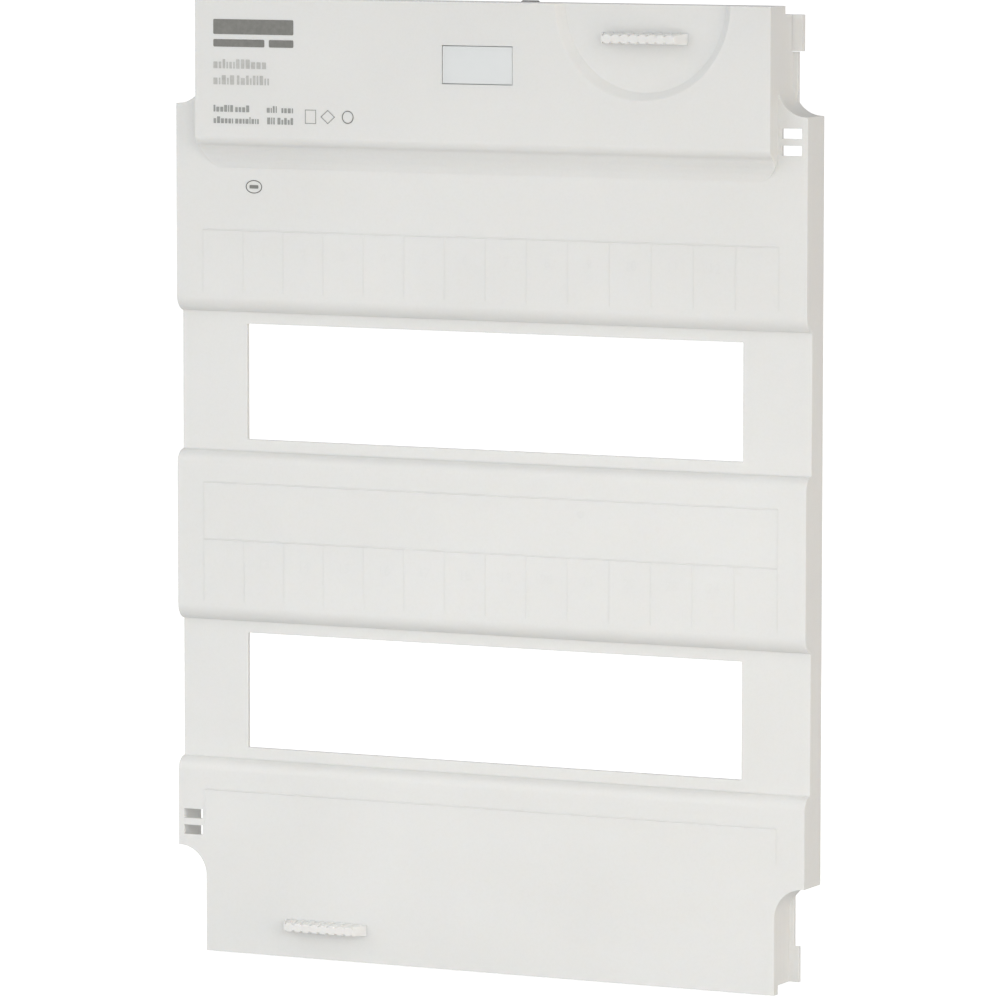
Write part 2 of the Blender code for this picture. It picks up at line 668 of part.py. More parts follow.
def spring_points():
    """A helix whose first and last turns lie nearly flat."""
    start = SEAT_X[1] + SPRING_WIRE_RADIUS + SEAT_GAP
    end = BAR_X[0] - SPRING_WIRE_RADIUS - SEAT_GAP
    steps_per_turn = 12
    total = SPRING_TURNS * steps_per_turn
    closed_turn = 2.1 * SPRING_WIRE_RADIUS
    open_pitch = (end - start - 2 * closed_turn) / (SPRING_TURNS - 2)
    points = []
    x = start
    for i in range(total + 1):
        angle = 2 * math.pi * i / steps_per_turn
        y = spring_y() + SPRING_RADIUS * math.cos(angle)
        z = SPRING_Z + SPRING_RADIUS * math.sin(angle)
        points.append((x, y, z))
        at_end = i < steps_per_turn or i >= total - steps_per_turn
        x += (closed_turn if at_end else open_pitch) / steps_per_turn
    return points


def build_spring(latch, parent, material):
    curve = bpy.data.curves.new("wire", "CURVE")
    curve.dimensions = "3D"
    curve.bevel_depth = SPRING_WIRE_RADIUS
    curve.bevel_resolution = 1
    curve.use_fill_caps = True
    points = spring_points()
    spline = curve.splines.new("POLY")
    spline.points.add(len(points) - 1)
    for point, place in zip(spline.points, points):
        point.co = (*place, 1.0)
    add_part(f"{latch.name}_spring", mesh_of_curve(curve), material, parent)


def build_guides(latch, parent, white, zinc):
    """Two plates that hold the bar against the wall, each on two screws."""
    front = bar_rear() + RUNNING_GAP
    for place, x in zip(("inner", "outer"), GUIDE_X):
        half = GUIDE_WIDTH / 2
        plate = box_mesh((x - half, front, GUIDE_Z[0]), (x + half, guide_rear(), GUIDE_Z[1]))
        guide = add_part(f"{latch.name}_{place}_guide", plate, white, parent)
        for side, z in zip(("lower", "upper"), BOSS_Z):
            hole = cone_mesh((x, 0.0, z), (0, 1, 0), guide_rear() + PAST, PILOT_RADIUS, PILOT_RADIUS, 16)
            tool = add_tool(f"{latch.name}_{place}_{side}_hole", hole, TOOLS, latch.frame)
            boolean(guide, "DIFFERENCE", tool)
            build_screw(f"{latch.name}_{place}_{side}_screw", (x, guide_rear() + SEAT_GAP, z), parent, zinc)


def build_screw(name, place, parent, material):
    """A turned pan-head screw. Its profile runs down the outer side, from the head to the point."""
    head = SCREW_HEAD_HEIGHT
    profile = [
        (0.0, head),
        (0.6 * SCREW_HEAD_RADIUS, 0.93 * head),
        (0.9 * SCREW_HEAD_RADIUS, 0.65 * head),
        (SCREW_HEAD_RADIUS, 0.25 * head),
        (SCREW_HEAD_RADIUS, 0.0),
        (SCREW_RADIUS, 0.0),
        (SCREW_RADIUS, 1.2 * MM - SCREW_LENGTH),
        (0.0, -SCREW_LENGTH),
    ]
    shape = bmesh.new()
    verts = [shape.verts.new((x, 0.0, z)) for x, z in profile]
    for first, second in zip(verts, verts[1:]):
        shape.edges.new((first, second))
    screw = add_part(name, finish_mesh(shape), material, parent)
    screw.location = place
    screw.rotation_euler = (-math.pi / 2, 0.0, 0.0)
    turning = screw.modifiers.new("Turn", "SCREW")
    turning.axis = "Z"
    turning.steps = 16
    turning.render_steps = 16
    turning.use_merge_vertices = True
    turning.merge_threshold = 1e-5
    drive = 0.35 * MM
    reach = 0.6 * SCREW_HEAD_RADIUS
    for number, half in enumerate(((reach, drive), (drive, reach))):
        low = (-half[0], -half[1], head - 0.8 * MM)
        high = (half[0], half[1], head + 1.0 * MM)
        frame = parent.matrix_world @ Matrix.Translation(place) @ Matrix.Rotation(-math.pi / 2, 4, "X")
        tool = add_tool(f"{name}_drive_{number}", box_mesh(low, high), TOOLS, frame)
        boolean(screw, "DIFFERENCE", tool)


def build_latch(latch, white, steel, zinc):
    """Everything of one latch, parented to an empty at the middle of the grip's base."""
    axis = bpy.data.objects.new(f"{latch.name}_axis", None)
    axis.matrix_world = latch.frame
    axis.empty_display_size = 10.0 * MM
    PARTS.objects.link(axis)
    bpy.context.view_layer.update()
    build_grip(latch, axis, white)
    build_slider(latch, axis, white)
    build_spring(latch, axis, steel)
    build_guides(latch, axis, white, zinc)


# ---------------------------------------------------------------- centring clips


def clip_mesh():
    """A strip folded round the end wall's rear edge, with an outer leg that arches outwards."""
    wall_top = TOP - REBATE_STEP
    outer = wall_top + SEAT_GAP + CLIP_THICKNESS / 2
    inner = wall_top - WALL - SEAT_GAP - CLIP_THICKNESS / 2
    back = -1.2 * MM + SEAT_GAP + CLIP_THICKNESS / 2
    peak = CLIP_PEAK - CLIP_THICKNESS / 2
    legs = [(-6.5 * MM, inner), (back, inner), (back, outer), (-2.2 * MM, peak - 0.5 * MM)]
    legs += [(-3.6 * MM, peak), (-5.4 * MM, peak - 0.2 * MM), (-8.6 * MM, outer + 0.3 * MM)]
    shape = bmesh.new()
    rows = [[shape.verts.new((x, y, z)) for y, z in legs] for x in CLIP_X]
    for i in range(len(legs) - 1):
        shape.faces.new((rows[0][i], rows[0][i + 1], rows[1][i + 1], rows[1][i]))
    return finish_mesh(shape)


def build_clips(steel):
    for name, turn in (("top_centring_clip", Matrix()), ("bottom_centring_clip", half_turn())):
        clip = add_part(name, clip_mesh(), steel)
        clip.matrix_world = turn
        thickness = clip.modifiers.new("Thickness", "SOLIDIFY")
        thickness.thickness = CLIP_THICKNESS
        thickness.offset = 0.0
        thickness.use_even_offset = True


# ---------------------------------------------------------------- assembly


def main():
    white = new_material("cover_white", COVER_WHITE, 0.45)
    latch_white = new_material("latch_white", LATCH_WHITE, 0.40)
    clear = new_material("clear_plastic", CLEAR, 0.08, transmission=0.9)
    card = new_material("card", CARD_WHITE, 0.7)
    steel = new_material("spring_steel", SPRING_STEEL, 0.35, metallic=1.0)
    zinc = new_material("zinc_plate", ZINC, 0.30, metallic=1.0)

    top_frame = Matrix.Translation((LATCH_X, RECESS_DEPTH - BOX_DEPTH, LATCH_Z))
    bottom_frame = half_turn() @ Matrix.Translation((LATCH_X, -BAND_DEPTH, LATCH_Z))
    latches = [
        Latch("top_latch", top_frame, BOX_DEPTH - RECESS_DEPTH),
        Latch("bottom_latch", bottom_frame, BAND_DEPTH),
    ]

    panel = cover_shell(white)
    add_corner_lugs()
    add_ribs_and_posts()
    add_window_pocket()
    add_recess_floor()
    cut_rows()
    cut_seal_slots()
    cut_window()
    cut_recess()
    cut_clip_notches()
    for latch in latches:
        add_latch_seats(latch)
        cut_latch_openings(latch)
    boolean(panel, "UNION", ADDED)
    boolean(panel, "DIFFERENCE", CUT)

    build_window(clear, card, latch_white)
    build_clips(steel)
    for latch in latches:
        build_latch(latch, latch_white, steel, zinc)


clear_scene()
PARTS = new_collection("breaker_panel_cover")
TOOLS = new_collection("tools")
ADDED = new_collection("joined_to_cover")
CUT = new_collection("cut_from_cover")
main()
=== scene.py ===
"""Looks of a flush-mounted breaker panel cover: finer shapes, finishes, studio and camera.

X is right, Y is back towards the wall and Z is up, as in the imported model. Shapes are made in
millimetres and scaled to metres when they become pieces.
"""

import json
import math
import random

import bmesh
import bpy
from mathutils import Matrix, Vector

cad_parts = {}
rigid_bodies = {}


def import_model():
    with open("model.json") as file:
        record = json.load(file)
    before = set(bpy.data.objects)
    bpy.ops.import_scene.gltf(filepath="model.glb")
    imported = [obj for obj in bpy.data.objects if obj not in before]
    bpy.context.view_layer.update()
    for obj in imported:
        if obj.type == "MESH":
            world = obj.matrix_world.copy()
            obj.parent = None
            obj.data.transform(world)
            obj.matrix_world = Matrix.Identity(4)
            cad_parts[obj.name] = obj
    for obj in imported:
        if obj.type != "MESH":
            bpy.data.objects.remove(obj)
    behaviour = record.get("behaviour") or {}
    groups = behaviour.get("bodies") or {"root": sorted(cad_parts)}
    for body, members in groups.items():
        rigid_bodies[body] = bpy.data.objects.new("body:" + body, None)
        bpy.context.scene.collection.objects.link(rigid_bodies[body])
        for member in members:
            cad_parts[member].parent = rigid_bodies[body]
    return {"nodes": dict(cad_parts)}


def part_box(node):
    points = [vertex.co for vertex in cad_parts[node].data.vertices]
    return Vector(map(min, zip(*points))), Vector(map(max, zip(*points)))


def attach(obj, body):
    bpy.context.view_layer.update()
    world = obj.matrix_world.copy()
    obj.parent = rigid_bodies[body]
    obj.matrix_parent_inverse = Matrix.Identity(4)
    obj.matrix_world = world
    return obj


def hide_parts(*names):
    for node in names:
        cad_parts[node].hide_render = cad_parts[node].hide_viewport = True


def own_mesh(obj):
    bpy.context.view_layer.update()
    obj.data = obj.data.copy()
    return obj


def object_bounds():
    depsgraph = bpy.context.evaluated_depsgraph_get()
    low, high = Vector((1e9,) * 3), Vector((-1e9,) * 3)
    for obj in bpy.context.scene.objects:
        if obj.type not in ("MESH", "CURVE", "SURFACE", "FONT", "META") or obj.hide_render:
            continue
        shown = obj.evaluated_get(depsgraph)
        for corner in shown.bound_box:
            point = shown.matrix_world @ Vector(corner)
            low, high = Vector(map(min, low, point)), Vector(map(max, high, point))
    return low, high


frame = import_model()
CAD_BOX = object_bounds()

MM = 0.001
HALF_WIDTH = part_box("cover_panel")[1].x / MM
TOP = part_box("cover_panel")[1].z / MM
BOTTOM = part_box("cover_panel")[0].z / MM
MIDDLE_Z = (TOP + BOTTOM) / 2

# Depth of each front face before the rear rim, the wall behind it, the gap between pieces, and how
# far a cutting shape runs past what it cuts.
WALL, BAY, BAND, BOX = 1.8, 10.8, 16.0, 23.5
GAP, PAST = 0.3, 5.0

# Middle heights of the two rows, their bays and cut-outs, and the round of a band's lower edge.
ROWS = (62.5, -62.5)
BAY_HEIGHT, CUT_WIDTH, CUT_HEIGHT = 56.0, 218.0, 46.6
BAND_TURN = 6.5

# Corner notches, set-back end walls, raised box, rear lugs and seal slots.
NOTCH_X, NOTCH_HEIGHT, NOTCH_RADIUS = 125.6, 42.6, 12.0
REBATE, TOP_REBATE, BOTTOM_REBATE = 3.55, 9.2, 12.0
SLOPE_BASE, SLOPE_TURN, SLOPE_RUN_OUT, BOX_CORNER = 147.6, 4.2, 13.2, 10.0
FLANGE_X, FLANGE_THICKNESS, LUG_X, LUG_HEIGHT, LUG_THICKNESS = 127.8, 1.5, 130.0, 14.2, 1.6
SLOT_X, SLOT_HEIGHT, SLOT_PITCH, SLOT_Z = (127.3, 135.7), 3.9, 6.6, 164.4

# Label fields, one to each device place, the width and height of their lines, and a small ring mark.
PLACES, PLACE_PITCH, FIELD_X = 12, 18, 126.3
LINE, FAINT_LINE = (0.40, 0.2), (0.32, 0.11)
GATE_X, GATE_Z = 41.5, 15.9

# Ribs and posts behind the front wall.
RIB_HALF, SIDE_RIBS, SIDE_RIB_REACH = 0.6, (-126.0, -117.0, 117.0, 126.0), 95.0
CROSS_RIBS, CROSS_RIB_REACH = (118.0, 0.0, -118.0), 117.0
POSTS, POST_RADIUS = (-96.0, 0.0, 96.0), 5.0

# Window, finger recess and latches, in a latch's own frame from the floor under its grip.
WINDOW_Z, WINDOW_WIDTH, WINDOW_HEIGHT = 192.0, 30.9, 15.3
POCKET_LIP, POCKET_WALL, POCKET_DEPTH = 1.85, 1.8, 6.5
LATCH_X, LATCH_Z, RECESS_RADIUS, RECESS_DEPTH = 71.1, 203.5, 37.4, 3.0
GRIP_BASE, GRIP_TIP, GRIP_HEIGHT = (36.7, 4.7), (31.7, 3.7), 7.0
FLUTES, FLUTE_PITCH, FLUTE_DEPTH, FLUTE_WIDTH = 8, 4.18, 0.6, 1.7
GRIP_ROUND, TRAVEL = 0.45, 5.0
BLADE, BARB = (9.0, 1.2), (6.0, 1.9)
BAR_END, BAR_REAR, GUIDE_X, BOSS_Z, BOSS_RADIUS = -22.0, 7.1, (-19.5, 26.0), (-9.5, 5.2), 2.2
GUIDE_REAR = BAR_REAR + GAP + 1.6
SEAT_X, SEAT_Z, SPIGOT_RADIUS = (-50.0, -45.5), (-6.9, 2.5), 1.3
SPRING_X = (SEAT_X[1] + 0.4, BAR_END - 0.4)
SPRING_Y, SPRING_Z, SPRING_RADIUS, WIRE_RADIUS, SPRING_TURNS = 4.6, -2.2, 2.15, 0.3, 9
CLIP_X, CLIP_PEAK, CLIP_THICKNESS = (10.6, 17.1), 217.15, 0.5

# Printing: its left edge on the raised box, and how thick the ink stands.
PRINT_X, INK = -117.2, 0.03

# Camera, floor, surroundings and area lights. A light is a name, place, size and power, and where
# it differs from a plain one, its colour, aim and spread.
CAMERA_TURN, CAMERA_LENS, CAMERA_DISTANCE = (25.878, 5.7321, 0.0458), 260.29224, 2875.27
CAMERA_TARGET = (-1.2382, 0.0, 18.4569)
FLOOR_GLOW, FLOOR_FILL = 0.8, 0.366
WORLD = (0.435, (1, 1, 1))
WARM = (1.0, 0.84, 0.68)
SOFTBOXES = (
    ("right_front", (2.5, -1.75, 1.0), (2.0, 2.0), 19.9, (1.0, 0.99, 0.96)),
    ("left_high", (-2.0, -2.0, 1.5), (2.2, 2.2), 20.0),
    ("top", (0.4, -1.1, 2.7), (2.2, 2.2), 4.0),
    ("right_side", (3.188, 0.0, 0.299), (2.2, 2.2), 4.2, (1.0, 0.58, 0.22)),
    ("left_near", (-0.8, -1.0, -0.08), (0.6, 0.25), 1.2),
    ("low_front", (0.1, -0.6, -0.15), (0.9, 0.4), 0.9),
    ("lower_key", (0.7, -1.2, 0.25), (0.5, 0.5), 0.18, (1, 1, 1), (-0.06, 0, -0.19), 38),
    ("low_right", (0.75, -0.3, -0.10), (0.4, 0.2), 0.72, WARM),
)


# ---------------------------------------------------------------- meshes


def link(obj):
    bpy.context.scene.collection.objects.link(obj)
    return obj


def to_mesh(shape):
    mesh = bpy.data.meshes.new("shape")
    shape.to_mesh(mesh)
    shape.free()
    return mesh


def box(low, high, turn=Matrix()):
    """A block between two corners."""
    size = Vector(high) - Vector(low)
    middle = (Vector(low) + Vector(high)) / 2
    place = turn @ Matrix.Translation(middle) @ Matrix.Diagonal(size).to_4x4()
    shape = bmesh.new()
    bmesh.ops.create_cube(shape, size=1.0, matrix=place)
    return to_mesh(shape)


def rod(start, axis, length, radius, segments=40, turn=Matrix()):
    """A round bar from start along axis."""
    along = Vector(axis).normalized()
    middle = Matrix.Translation(Vector(start) + along * length / 2)
    place = turn @ (middle @ along.to_track_quat("Z", "Y").to_matrix().to_4x4())
    ends = dict(radius1=radius, radius2=radius, cap_ends=True)
    shape = bmesh.new()
    bmesh.ops.create_cone(shape, segments=segments, depth=length, matrix=place, **ends)
    return to_mesh(shape)


def full_turn(count):
    """Angles spaced evenly round a full turn."""
    return [math.tau * i / count for i in range(count)]


def arc(centre, radius, start, end, steps):
    """Points along an arc, its ends given in degrees."""
    angles = [math.radians(start + (end - start) * i / steps) for i in range(steps + 1)]
    return [(centre[0] + radius * math.cos(a), centre[1] + radius * math.sin(a)) for a in angles]


def without_repeats(points):
    kept = [points[0]]
    for point in points[1:]:
        if (Vector(point) - Vector(kept[-1])).length > 1e-3:
            kept.append(point)
    return kept


def prism(outline, low, high, plane="XZ"):
    """A flat outline given a thickness: plane XZ runs along Y, plane YZ runs along X."""
    shape = bmesh.new()
    place = (lambda p, t: (p[0], t, p[1])) if plane == "XZ" else (lambda p, t: (t, p[0], p[1]))
    rings = [[shape.verts.new(place(p, t)) for p in outline] for t in (low, high)]
    count = len(outline)
    for i in range(count):
        after = (i + 1) % count
        shape.faces.new((rings[0][i], rings[0][after], rings[1][after], rings[1][i]))
    for ring in rings:
        shape.faces.new(ring)
    bmesh.ops.recalc_face_normals(shape, faces=shape.faces)
    return to_mesh(shape)


def lathe(profile, turn=Matrix(), segments=96):
    """A closed solid turned about Y from (radius, y) points that start and end on the axis."""
    shape = bmesh.new()
    rings = []
    for radius, y in profile:
        if radius < 1e-6:
            rings.append([shape.verts.new(turn @ Vector((0, y, 0)))])
            continue
        points = [Vector((radius * math.cos(a), y, radius * math.sin(a))) for a in full_turn(segments)]
        rings.append([shape.verts.new(turn @ p) for p in points])
    for one, two in zip(rings, rings[1:]):
        for i in range(segments):
            after = (i + 1) % segments
            quad = [one[i % len(one)], one[after % len(one)], two[after % len(two)], two[i % len(two)]]
            shape.faces.new(list(dict.fromkeys(quad)))
    bmesh.ops.recalc_face_normals(shape, faces=shape.faces)
    return to_mesh(shape)


def loft(rings):
    """A closed solid through rings of points, with flat ends."""
    shape = bmesh.new()
    rows = [[shape.verts.new(p) for p in ring] for ring in rings]
    for one, two in zip(rows, rows[1:]):
        for i in range(len(one)):
            after = (i + 1) % len(one)
            shape.faces.new((one[i], one[after], two[after], two[i]))
    shape.faces.new(rows[0])
    shape.faces.new(rows[-1])
    bmesh.ops.recalc_face_normals(shape, faces=shape.faces)
    return to_mesh(shape)


def combined(base, *steps):
    """The mesh after Booleans, each an operation and the meshes that it takes."""
    work = link(bpy.data.objects.new("work", base))
    made = []
    for operation, meshes in steps:
        group = bpy.data.collections.new("step")
        bpy.context.scene.collection.children.link(group)
        for mesh in meshes:
            tool = bpy.data.objects.new("tool", mesh)
            group.objects.link(tool)
            made.append(tool)
        modifier = work.modifiers.new(operation, "BOOLEAN")
        modifier.operation = operation
        modifier.solver = "EXACT"
        if len(meshes) == 1:
            modifier.object = made[-1]
        else:
            modifier.operand_type = "COLLECTION"
            modifier.collection = group
        made.append(group)
    mesh = mesh_of(work)
    for item in made:
        (bpy.data.collections if isinstance(item, bpy.types.Collection) else bpy.data.objects).remove(item)
    return mesh


def tidy(mesh, flat=0.4, convex=False):
    """Welds the mesh and joins faces in one plane. Convex faces only, if asked, are safer round a hole."""
    shape = bmesh.new()
    shape.from_mesh(mesh)
    bmesh.ops.remove_doubles(shape, verts=shape.verts, dist=2e-3)
    bmesh.ops.dissolve_degenerate(shape, edges=shape.edges, dist=2e-3)
    bmesh.ops.dissolve_limit(shape, angle_limit=math.radians(flat), verts=shape.verts, edges=shape.edges)
    if convex:
        bmesh.ops.connect_verts_concave(shape, faces=shape.faces)
    shape.to_mesh(mesh)
    shape.free()
    return mesh


def mesh_of(guide):
    """The mesh that an object evaluates to, after which the object is removed."""
    mesh = bpy.data.meshes.new_from_object(guide.evaluated_get(bpy.context.evaluated_depsgraph_get()))
    bpy.data.objects.remove(guide)
    return mesh


def with_modifiers(mesh, *modifiers):
    """The mesh after modifiers, each a kind and its settings."""
    work = link(bpy.data.objects.new("work", mesh))
    for kind, settings in modifiers:
        modifier = work.modifiers.new(kind, kind)
        for name, value in settings.items():
            setattr(modifier, name, value)
    return mesh_of(work)


def softened(mesh, width, convex=False):
    """The mesh with a small round on every sharp edge."""
    settings = dict(width=width, segments=2, limit_method="ANGLE", angle_limit=math.radians(32))
    settings.update(use_clamp_overlap=True, miter_outer="MITER_ARC", loop_slide=True)
    return with_modifiers(tidy(mesh, convex=convex), ("BEVEL", settings))


def piece(name, mesh, finish, body="panel", nodes=(), angle=38):
    """Scales a mesh to metres and hands it to the frame as a visible piece."""
    mesh.transform(Matrix.Scale(MM, 4))
    mesh.name = name
    mesh.materials.clear()
    mesh.materials.append(finish)
    for face in mesh.polygons:
        face.material_index = 0
    mesh.shade_smooth()
    mesh.set_sharp_from_angle(angle=math.radians(angle))
    for face in mesh.polygons:
        face.use_smooth = max(abs(c) for c in face.normal) < 0.99999
    obj = link(bpy.data.objects.new(name, mesh))
    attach(obj, body)
    if nodes:
        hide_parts(*nodes)
    return obj


def half_turn():
    """The cover's own symmetry: a half turn about its middle, seen from the front."""
    centre = Matrix.Translation((0.0, 0.0, MIDDLE_Z))
    return centre @ Matrix.Rotation(math.pi, 4, "Y") @ centre.inverted()


# ---------------------------------------------------------------- finishes


class Tree:
    """A material's node tree, written as nested calls."""

    def __init__(self, name):
        self.material = bpy.data.materials.new(name)
        self.material.use_nodes = True
        self.nodes = self.material.node_tree.nodes
        self.links = self.material.node_tree.links
        self.shader = self.nodes["Principled BSDF"]
        self.place = self.add("ShaderNodeTexCoord").outputs["Object"]

    def add(self, kind, **settings):
        node = self.nodes.new(kind)
        for name, value in settings.items():
            setattr(node, name, value)
        return node

    def put(self, socket, value):
        if isinstance(value, bpy.types.NodeSocket):
            self.links.new(value, socket)
        else:
            socket.default_value = value

    def noise(self, scale, detail=3.0, rough=0.55, stretch=(1, 1, 1)):
        mapping = self.add("ShaderNodeMapping")
        self.links.new(self.place, mapping.inputs["Vector"])
        mapping.inputs["Scale"].default_value = stretch
        node = self.add("ShaderNodeTexNoise")
        self.links.new(mapping.outputs[0], node.inputs["Vector"])
        node.inputs["Scale"].default_value = scale
        node.inputs["Detail"].default_value = detail
        node.inputs["Roughness"].default_value = rough
        return node.outputs["Fac"]

    def ramp(self, value, *stops):
        node = self.add("ShaderNodeValToRGB")
        self.links.new(value, node.inputs[0])
        elements = node.color_ramp.elements
        while len(elements) < len(stops):
            elements.new(0.5)
        for element, (position, colour) in zip(elements, stops):
            element.position = position
            element.color = (*colour, 1.0)
        return node.outputs["Color"]

    def spread(self, value, low, high):
        node = self.add("ShaderNodeMapRange")
        self.links.new(value, node.inputs["Value"])
        for name, number in (("From Min", 0.3), ("From Max", 0.7), ("To Min", low), ("To Max", high)):
            node.inputs[name].default_value = number
        return node.outputs["Result"]

    def times(self, first, second):
        node = self.add("ShaderNodeMix", data_type="RGBA", blend_type="MULTIPLY")
        node.inputs["Factor"].default_value = 1.0
        self.links.new(first, node.inputs["A"])
        self.links.new(second, node.inputs["B"])
        return node.outputs["Result"]

    def bump(self, value, depth, strength=1.0, under=None):
        node = self.add("ShaderNodeBump")
        node.inputs["Strength"].default_value = strength
        node.inputs["Distance"].default_value = depth
        self.links.new(value, node.inputs["Height"])
        if under is not None:
            self.links.new(under, node.inputs["Normal"])
        return node.outputs["Normal"]

    def finish(self, **inputs):
        for name, value in inputs.items():
            self.put(self.shader.inputs[name.replace("_", " ")], value)
        return self.material


def tint(colour, factor):
    """A colour made lighter or darker."""
    return tuple(min(1.0, c * factor) for c in colour)


def moulded(name, colour, rough=0.42, grain=0.006, variation=0.02, scatter=0.35):
    """Moulded plastic: faint mottling and flow, a fine grain, uneven gloss, and a little light let in."""
    tree = Tree(name)
    darker, lighter = tint(colour, 1 - variation), tint(colour, 1 + variation / 2)
    mottle = tree.ramp(tree.noise(14, 4), (0.3, darker), (0.7, lighter))
    speck = tree.ramp(tree.noise(900, 2), (0.25, (0.985, 0.985, 0.98)), (0.6, (1, 1, 1)))
    flow = tree.ramp(tree.noise(6, 2, stretch=(1, 1, 5)), (0.35, (0.992, 0.99, 0.985)), (0.65, (1, 1, 1)))
    gloss = tree.spread(tree.noise(260, 3), rough - 0.05, rough + 0.06)
    coarse = tree.bump(tree.noise(420, 2), grain * MM, 0.6)
    fine = tree.bump(tree.noise(2600, 2), grain * MM * 0.5, 0.6, coarse)
    base = tree.times(tree.times(mottle, speck), flow)
    tree.finish(Base_Color=base, Roughness=gloss, Normal=fine, IOR=1.5)
    tree.shader.inputs["Subsurface Weight"].default_value = scatter
    tree.shader.inputs["Subsurface Radius"].default_value = (1.0, 0.85, 0.7)
    tree.shader.inputs["Subsurface Scale"].default_value = 2.0 * MM
    return tree.material


def ink(name, colour):
    """Pad-printed ink: slightly uneven cover and a duller gloss than the plastic."""
    tree = Tree(name)
    cover = tree.ramp(tree.noise(700, 3), (0.3, tint(colour, 0.9)), (0.7, tint(colour, 1.08)))
    patch = tree.ramp(tree.noise(90, 2), (0.3, (0.95, 0.95, 0.95)), (0.7, (1, 1, 1)))
    gloss = tree.spread(tree.noise(500, 2), 0.5, 0.62)
    grain = tree.bump(tree.noise(1500, 2), 0.002 * MM)
    return tree.finish(Base_Color=tree.times(cover, patch), Roughness=gloss, Normal=grain)


def metal(name, dark, light, rough, stretch):
    """Drawn or plated metal: fine lines along one direction, clouding and small pits."""
    tree = Tree(name)
    lines = tree.noise(900, 3, stretch=stretch)
    cloud = tree.ramp(tree.noise(120, 3), (0.3, dark), (0.7, light))
    streak = tree.ramp(lines, (0.3, (0.85, 0.85, 0.86)), (0.7, (1, 1, 1)))
    gloss = tree.spread(tree.noise(400, 3), rough - 0.06, rough + 0.12)
    base, relief = tree.times(cloud, streak), tree.bump(lines, 0.004 * MM, 0.5)
    return tree.finish(Base_Color=base, Metallic=1.0, Roughness=gloss, Normal=relief)


def paper(name, colour):
    """Coated card: faint fibres and a slightly cloudy tone."""
    tree = Tree(name)
    fibre = tree.ramp(tree.noise(1200, 4, stretch=(1, 1, 3)), (0.3, tint(colour, 0.975)), (0.7, colour))
    cloud = tree.ramp(tree.noise(70, 2), (0.3, (0.98, 0.985, 0.99)), (0.7, (1, 1, 1)))
    gloss = tree.spread(tree.noise(300, 2), 0.6, 0.75)
    relief = tree.bump(tree.noise(1800, 3), 0.004 * MM, 0.5)
    return tree.finish(Base_Color=tree.times(fibre, cloud), Roughness=gloss, Normal=relief)


def clear(name):
    """Clear moulded sheet: a thin cast of blue, faint hairline scratches in its gloss."""
    tree = Tree(name)
    scratch = tree.noise(300, 2, stretch=(1, 1, 12))
    gloss = tree.spread(scratch, 0.05, 0.12)
    colour = tree.ramp(tree.noise(60, 2), (0.3, (0.93, 0.96, 0.965)), (0.7, (0.95, 0.975, 0.98)))
    tree.finish(Base_Color=colour, Roughness=gloss, IOR=1.49, Normal=tree.bump(scratch, 0.001 * MM, 0.3))
    tree.shader.inputs["Alpha"].default_value = 0.75
    return tree.material


# ---------------------------------------------------------------- cover


def side_profile(inset, rear):
    """Y and Z outline of the bands and bays, from the rear over the top and down the front."""
    step = BAND - BAY
    turn = math.acos(1 - step / BAND_TURN)
    turn_end = 270 if inset else 180 + math.degrees(turn)
    ledge, top_ledge = BOTTOM_REBATE + inset, TOP_REBATE + inset
    points = [(rear, TOP - REBATE - inset), (-top_ledge, TOP - REBATE - inset)]
    points += [(-top_ledge, TOP - inset), (inset - BAND, TOP - inset)]
    for row in ROWS:
        upper, lower = row + BAY_HEIGHT / 2, row - BAY_HEIGHT / 2
        centre = (BAND_TURN - BAND, upper + BAND_TURN * math.sin(turn))
        points += arc(centre, BAND_TURN - inset, 180, turn_end, 24)
        points += [(inset - BAY, points[-1][1]), (inset - BAY, lower - inset)]
        points += arc((-BAY, lower - step), step - inset, 90, 180, 24)
    points += [(inset - BAND, BOTTOM + inset), (-ledge, BOTTOM + inset)]
    points += [(-ledge, BOTTOM + REBATE + inset), (rear, BOTTOM + REBATE + inset)]
    return without_repeats(points)


def plan_outline(inset):
    """X and Z outline with the four corner notches, running past the top and the bottom."""
    notch_top, notch_bottom = TOP - NOTCH_HEIGHT, BOTTOM + NOTCH_HEIGHT
    centre, radius = NOTCH_X + NOTCH_RADIUS, NOTCH_RADIUS + inset
    right = [(NOTCH_X - inset, BOTTOM - PAST)]
    right += arc((centre, notch_bottom - NOTCH_RADIUS), radius, 180, 90, 18)
    right += [(HALF_WIDTH - inset, notch_bottom + inset), (HALF_WIDTH - inset, notch_top - inset)]
    right += arc((centre, notch_top + NOTCH_RADIUS), radius, 270, 180, 18)
    right = without_repeats(right + [(NOTCH_X - inset, TOP + PAST)])
    if inset > HALF_WIDTH - centre:
        right = [p for p in right if p[0] <= HALF_WIDTH - inset + 1e-4]
    return right + [(-x, z) for x, z in reversed(right)]


